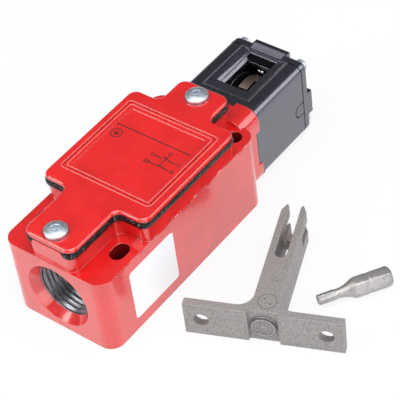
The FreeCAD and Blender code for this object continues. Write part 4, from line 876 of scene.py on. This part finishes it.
def make_slot_frame():
    """The slot's moulded frame with chamfered walls and a raised border; it reaches past the solid's slot."""
    low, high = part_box("top_slot_frame")
    foot, top, outer = low.z, high.z, high.x
    near, far = low.y, high.y
    plane, rear, border = top - 0.2 * MM, far - 0.05 * MM, 0.5 * MM
    mouth_near, throat_far = 49.4 * MM, 67.3 * MM
    depth = plane - foot
    half_mouth = 6.35 * MM
    half_throat = half_mouth - depth * (6.35 - 4.6) / 2.4 - 0.15 * MM
    data = bmesh.new()

    def ring(half, y_low, y_high, z):
        corners = ((-half, y_low, z), (half, y_low, z), (half, y_high, z), (-half, y_high, z))
        return [data.verts.new(p) for p in corners]

    foot_ring = ring(outer, near, far, foot)
    top_ring = ring(outer, near, far, top)
    inner_top = ring(outer - border, near + border, rear, top)
    inner_low = ring(outer - border, near + border, rear, plane)
    mouth = ring(half_mouth, mouth_near, throat_far + 1.0 * MM, plane)
    mouth[2].co.z = mouth[3].co.z = foot + 0.15 * MM
    throat = ring(half_throat, mouth_near + depth * 0.62, throat_far, foot)
    bridge(data, foot_ring, top_ring)
    bridge(data, top_ring, inner_top)
    bridge(data, inner_top, inner_low)
    bridge(data, inner_low, mouth, skip=(2,))
    for n in (2, 3):
        data.faces.new((inner_low[n], mouth[n], data.verts.new((mouth[n].co.x, rear, plane))))
    bridge(data, mouth, throat)
    bridge(data, throat, foot_ring)
    piece = finish_piece(data, "slot_frame", BLACK_PLASTIC, "switch", smooth=False)
    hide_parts("top_slot_frame")


def make_slot_lines():
    """The frame's double edge line and a row of fine studs at the foot of its ramp, all in pale grey as
    painted highlights.
    """
    low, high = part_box("top_slot_frame")
    top, near, far, outer = high.z, low.y, high.y, high.x
    plane = top - 0.2 * MM
    # painted highlight: pale grey lines and studs on the slot frame
    lines = bmesh.new()
    for offset, start, level, width in ((0.12, near, top, 0.16), (0.85, near + 0.6 * MM, plane, 0.16),
                                        (0.85, 61.5 * MM, plane, 0.5)):
        x = outer - offset * MM
        add_bead(lines, [Vector((x, start)), Vector((x, far))], width * MM, 0.06 * MM,
                 lambda p, up: (p.x, p.y, level - 0.01 * MM + up), closed=False, sides=4)
    studs, spread = 17, 9.2
    for n in range(studs):
        x = (spread * n / (studs - 1) - spread / 2) * MM
        add_ring(lines, 0.10 * MM, 0.02 * MM, 0, 0.05 * MM,
                 Matrix.Translation((x, 70.2 * MM, top - 0.67 * MM)), 8)
    finish_piece(lines, "slot_frame_highlights", HIGHLIGHT_GREY, "switch")


def make_throat_liner():
    """A near-black skin of painted shade that carries the slot's throat on past the end of the solid's slot.
    """
    liner = bmesh.new()
    thick = 0.06
    spots = [(-4.5, 65.0, 28.62), (4.5, 65.0, 28.62), (6.2, 68.2, 29.62), (-6.2, 68.2, 29.62)]
    upper = [liner.verts.new((x * MM, y * MM, z * MM)) for x, y, z in spots]
    lower = [liner.verts.new((x * MM, y * MM, (z - thick) * MM)) for x, y, z in spots]
    liner.faces.new(upper)
    liner.faces.new(lower[::-1])
    bridge(liner, lower, upper)
    finish_piece(liner, "throat_liner", JOINT_AND_SHADE_BLACK, "switch", smooth=False)


make_thread()
make_cover_screws()
make_rim_lips()
make_plate_frame()
make_head_seams()
make_slot_frame()
make_slot_lines()
make_throat_liner()
make_gasket()
make_print()
make_sticker()
make_bit()
make_key_marks()
make_latch_pin()


# ------------------------------------------------------------------ stage


def make_floor():
    """A pale floor that keeps the shadow and looks white to the camera and in reflections."""
    bpy.ops.mesh.primitive_plane_add(size=6, location=(0, 0, cad_low.z - 0.00005))
    floor = bpy.context.object
    floor.name = "floor"
    material = bpy.data.materials.new("floor_white")
    material.use_nodes = True
    tree = material.node_tree
    tree.nodes.clear()

    def math_node(operation, first, second):
        node = tree.nodes.new("ShaderNodeMath")
        node.operation = operation
        tree.links.new(first, node.inputs[0])
        if isinstance(second, float):
            node.inputs[1].default_value = second
        else:
            tree.links.new(second, node.inputs[1])
        return node.outputs["Value"]

    diffuse = tree.nodes.new("ShaderNodeBsdfDiffuse")
    diffuse.inputs["Color"].default_value = (0.88, 0.88, 0.88, 1)
    glow = tree.nodes.new("ShaderNodeEmission")
    ray = tree.nodes.new("ShaderNodeLightPath").outputs
    mirrored = math_node("MAXIMUM", ray["Is Glossy Ray"], ray["Is Transmission Ray"])
    shown = math_node("MAXIMUM", ray["Is Camera Ray"], mirrored)
    mix = tree.nodes.new("ShaderNodeMixShader")
    output = tree.nodes.new("ShaderNodeOutputMaterial")
    tree.links.new(math_node("MULTIPLY", shown, 0.86), mix.inputs[0])
    tree.links.new(diffuse.outputs[0], mix.inputs[1])
    tree.links.new(glow.outputs[0], mix.inputs[2])
    tree.links.new(mix.outputs[0], output.inputs["Surface"])
    floor.data.materials.append(material)


def make_world():
    """A dim, slightly blue surrounding that the camera sees as white."""
    world = bpy.data.worlds.new("studio")
    scene.world = world
    world.use_nodes = True
    tree = world.node_tree
    tree.nodes.clear()
    path = tree.nodes.new("ShaderNodeLightPath")
    dim = tree.nodes.new("ShaderNodeBackground")
    dim.inputs["Color"].default_value = (0.9, 0.93, 1, 1)
    dim.inputs["Strength"].default_value = 0.13
    white = tree.nodes.new("ShaderNodeBackground")
    white.inputs["Strength"].default_value = 1.0
    mix = tree.nodes.new("ShaderNodeMixShader")
    tree.links.new(path.outputs["Is Camera Ray"], mix.inputs[0])
    tree.links.new(dim.outputs[0], mix.inputs[1])
    tree.links.new(white.outputs[0], mix.inputs[2])
    output = tree.nodes.new("ShaderNodeOutputWorld")
    tree.links.new(mix.outputs[0], output.inputs["Surface"])


def add_light(name, direction, distance, size, power):
    """A square soft light that faces the middle of the switch."""
    light = bpy.data.lights.new(name, "AREA")
    light.size = size
    light.energy = power
    lamp = bpy.data.objects.new(name, light)
    scene.collection.objects.link(lamp)
    away = Vector(direction).normalized()
    lamp.location = Vector((0.02, 0.01, 0.02)) + away * distance
    lamp.rotation_euler = away.to_track_quat("Z", "Y").to_euler()


def make_camera():
    """The camera of the product picture, from above the conduit end."""
    data = bpy.data.cameras.new("camera")
    data.lens = 152.9
    data.sensor_width = 36
    data.clip_end = 20
    camera = bpy.data.objects.new("camera", data)
    scene.collection.objects.link(camera)
    forward = Vector((-0.48407, 0.52378, -0.70095)).normalized()
    up = Vector((-0.36677, 0.60584, 0.70600))
    right = forward.cross(up).normalized()
    up = right.cross(forward)
    turn = Matrix((right, up, -forward)).transposed().to_4x4()
    camera.matrix_world = Matrix.Translation((0.28210, -0.27954, 0.40512)) @ turn
    scene.camera = camera


# name, direction from the switch, distance and size in metres, watts
LIGHTS = (
    ("top_light", (0.15, -0.1, 1), 0.9, 0.7, 6.4),
    ("back_light", (0.7, 0.52, 0.48), 0.8, 0.5, 1.9),
    ("front_light", (-0.5, -0.7, 0.52), 0.8, 0.5, 3.2),
    ("side_light", (0.85, -0.5, 0.36), 0.8, 0.6, 2.3),
    ("ramp_light", (-0.49, 0.05, 0.87), 0.9, 0.3, 0.28),
)

make_floor()
make_world()
for light in LIGHTS:
    add_light(*light)
make_camera()
scene.view_settings.view_transform = "Standard"
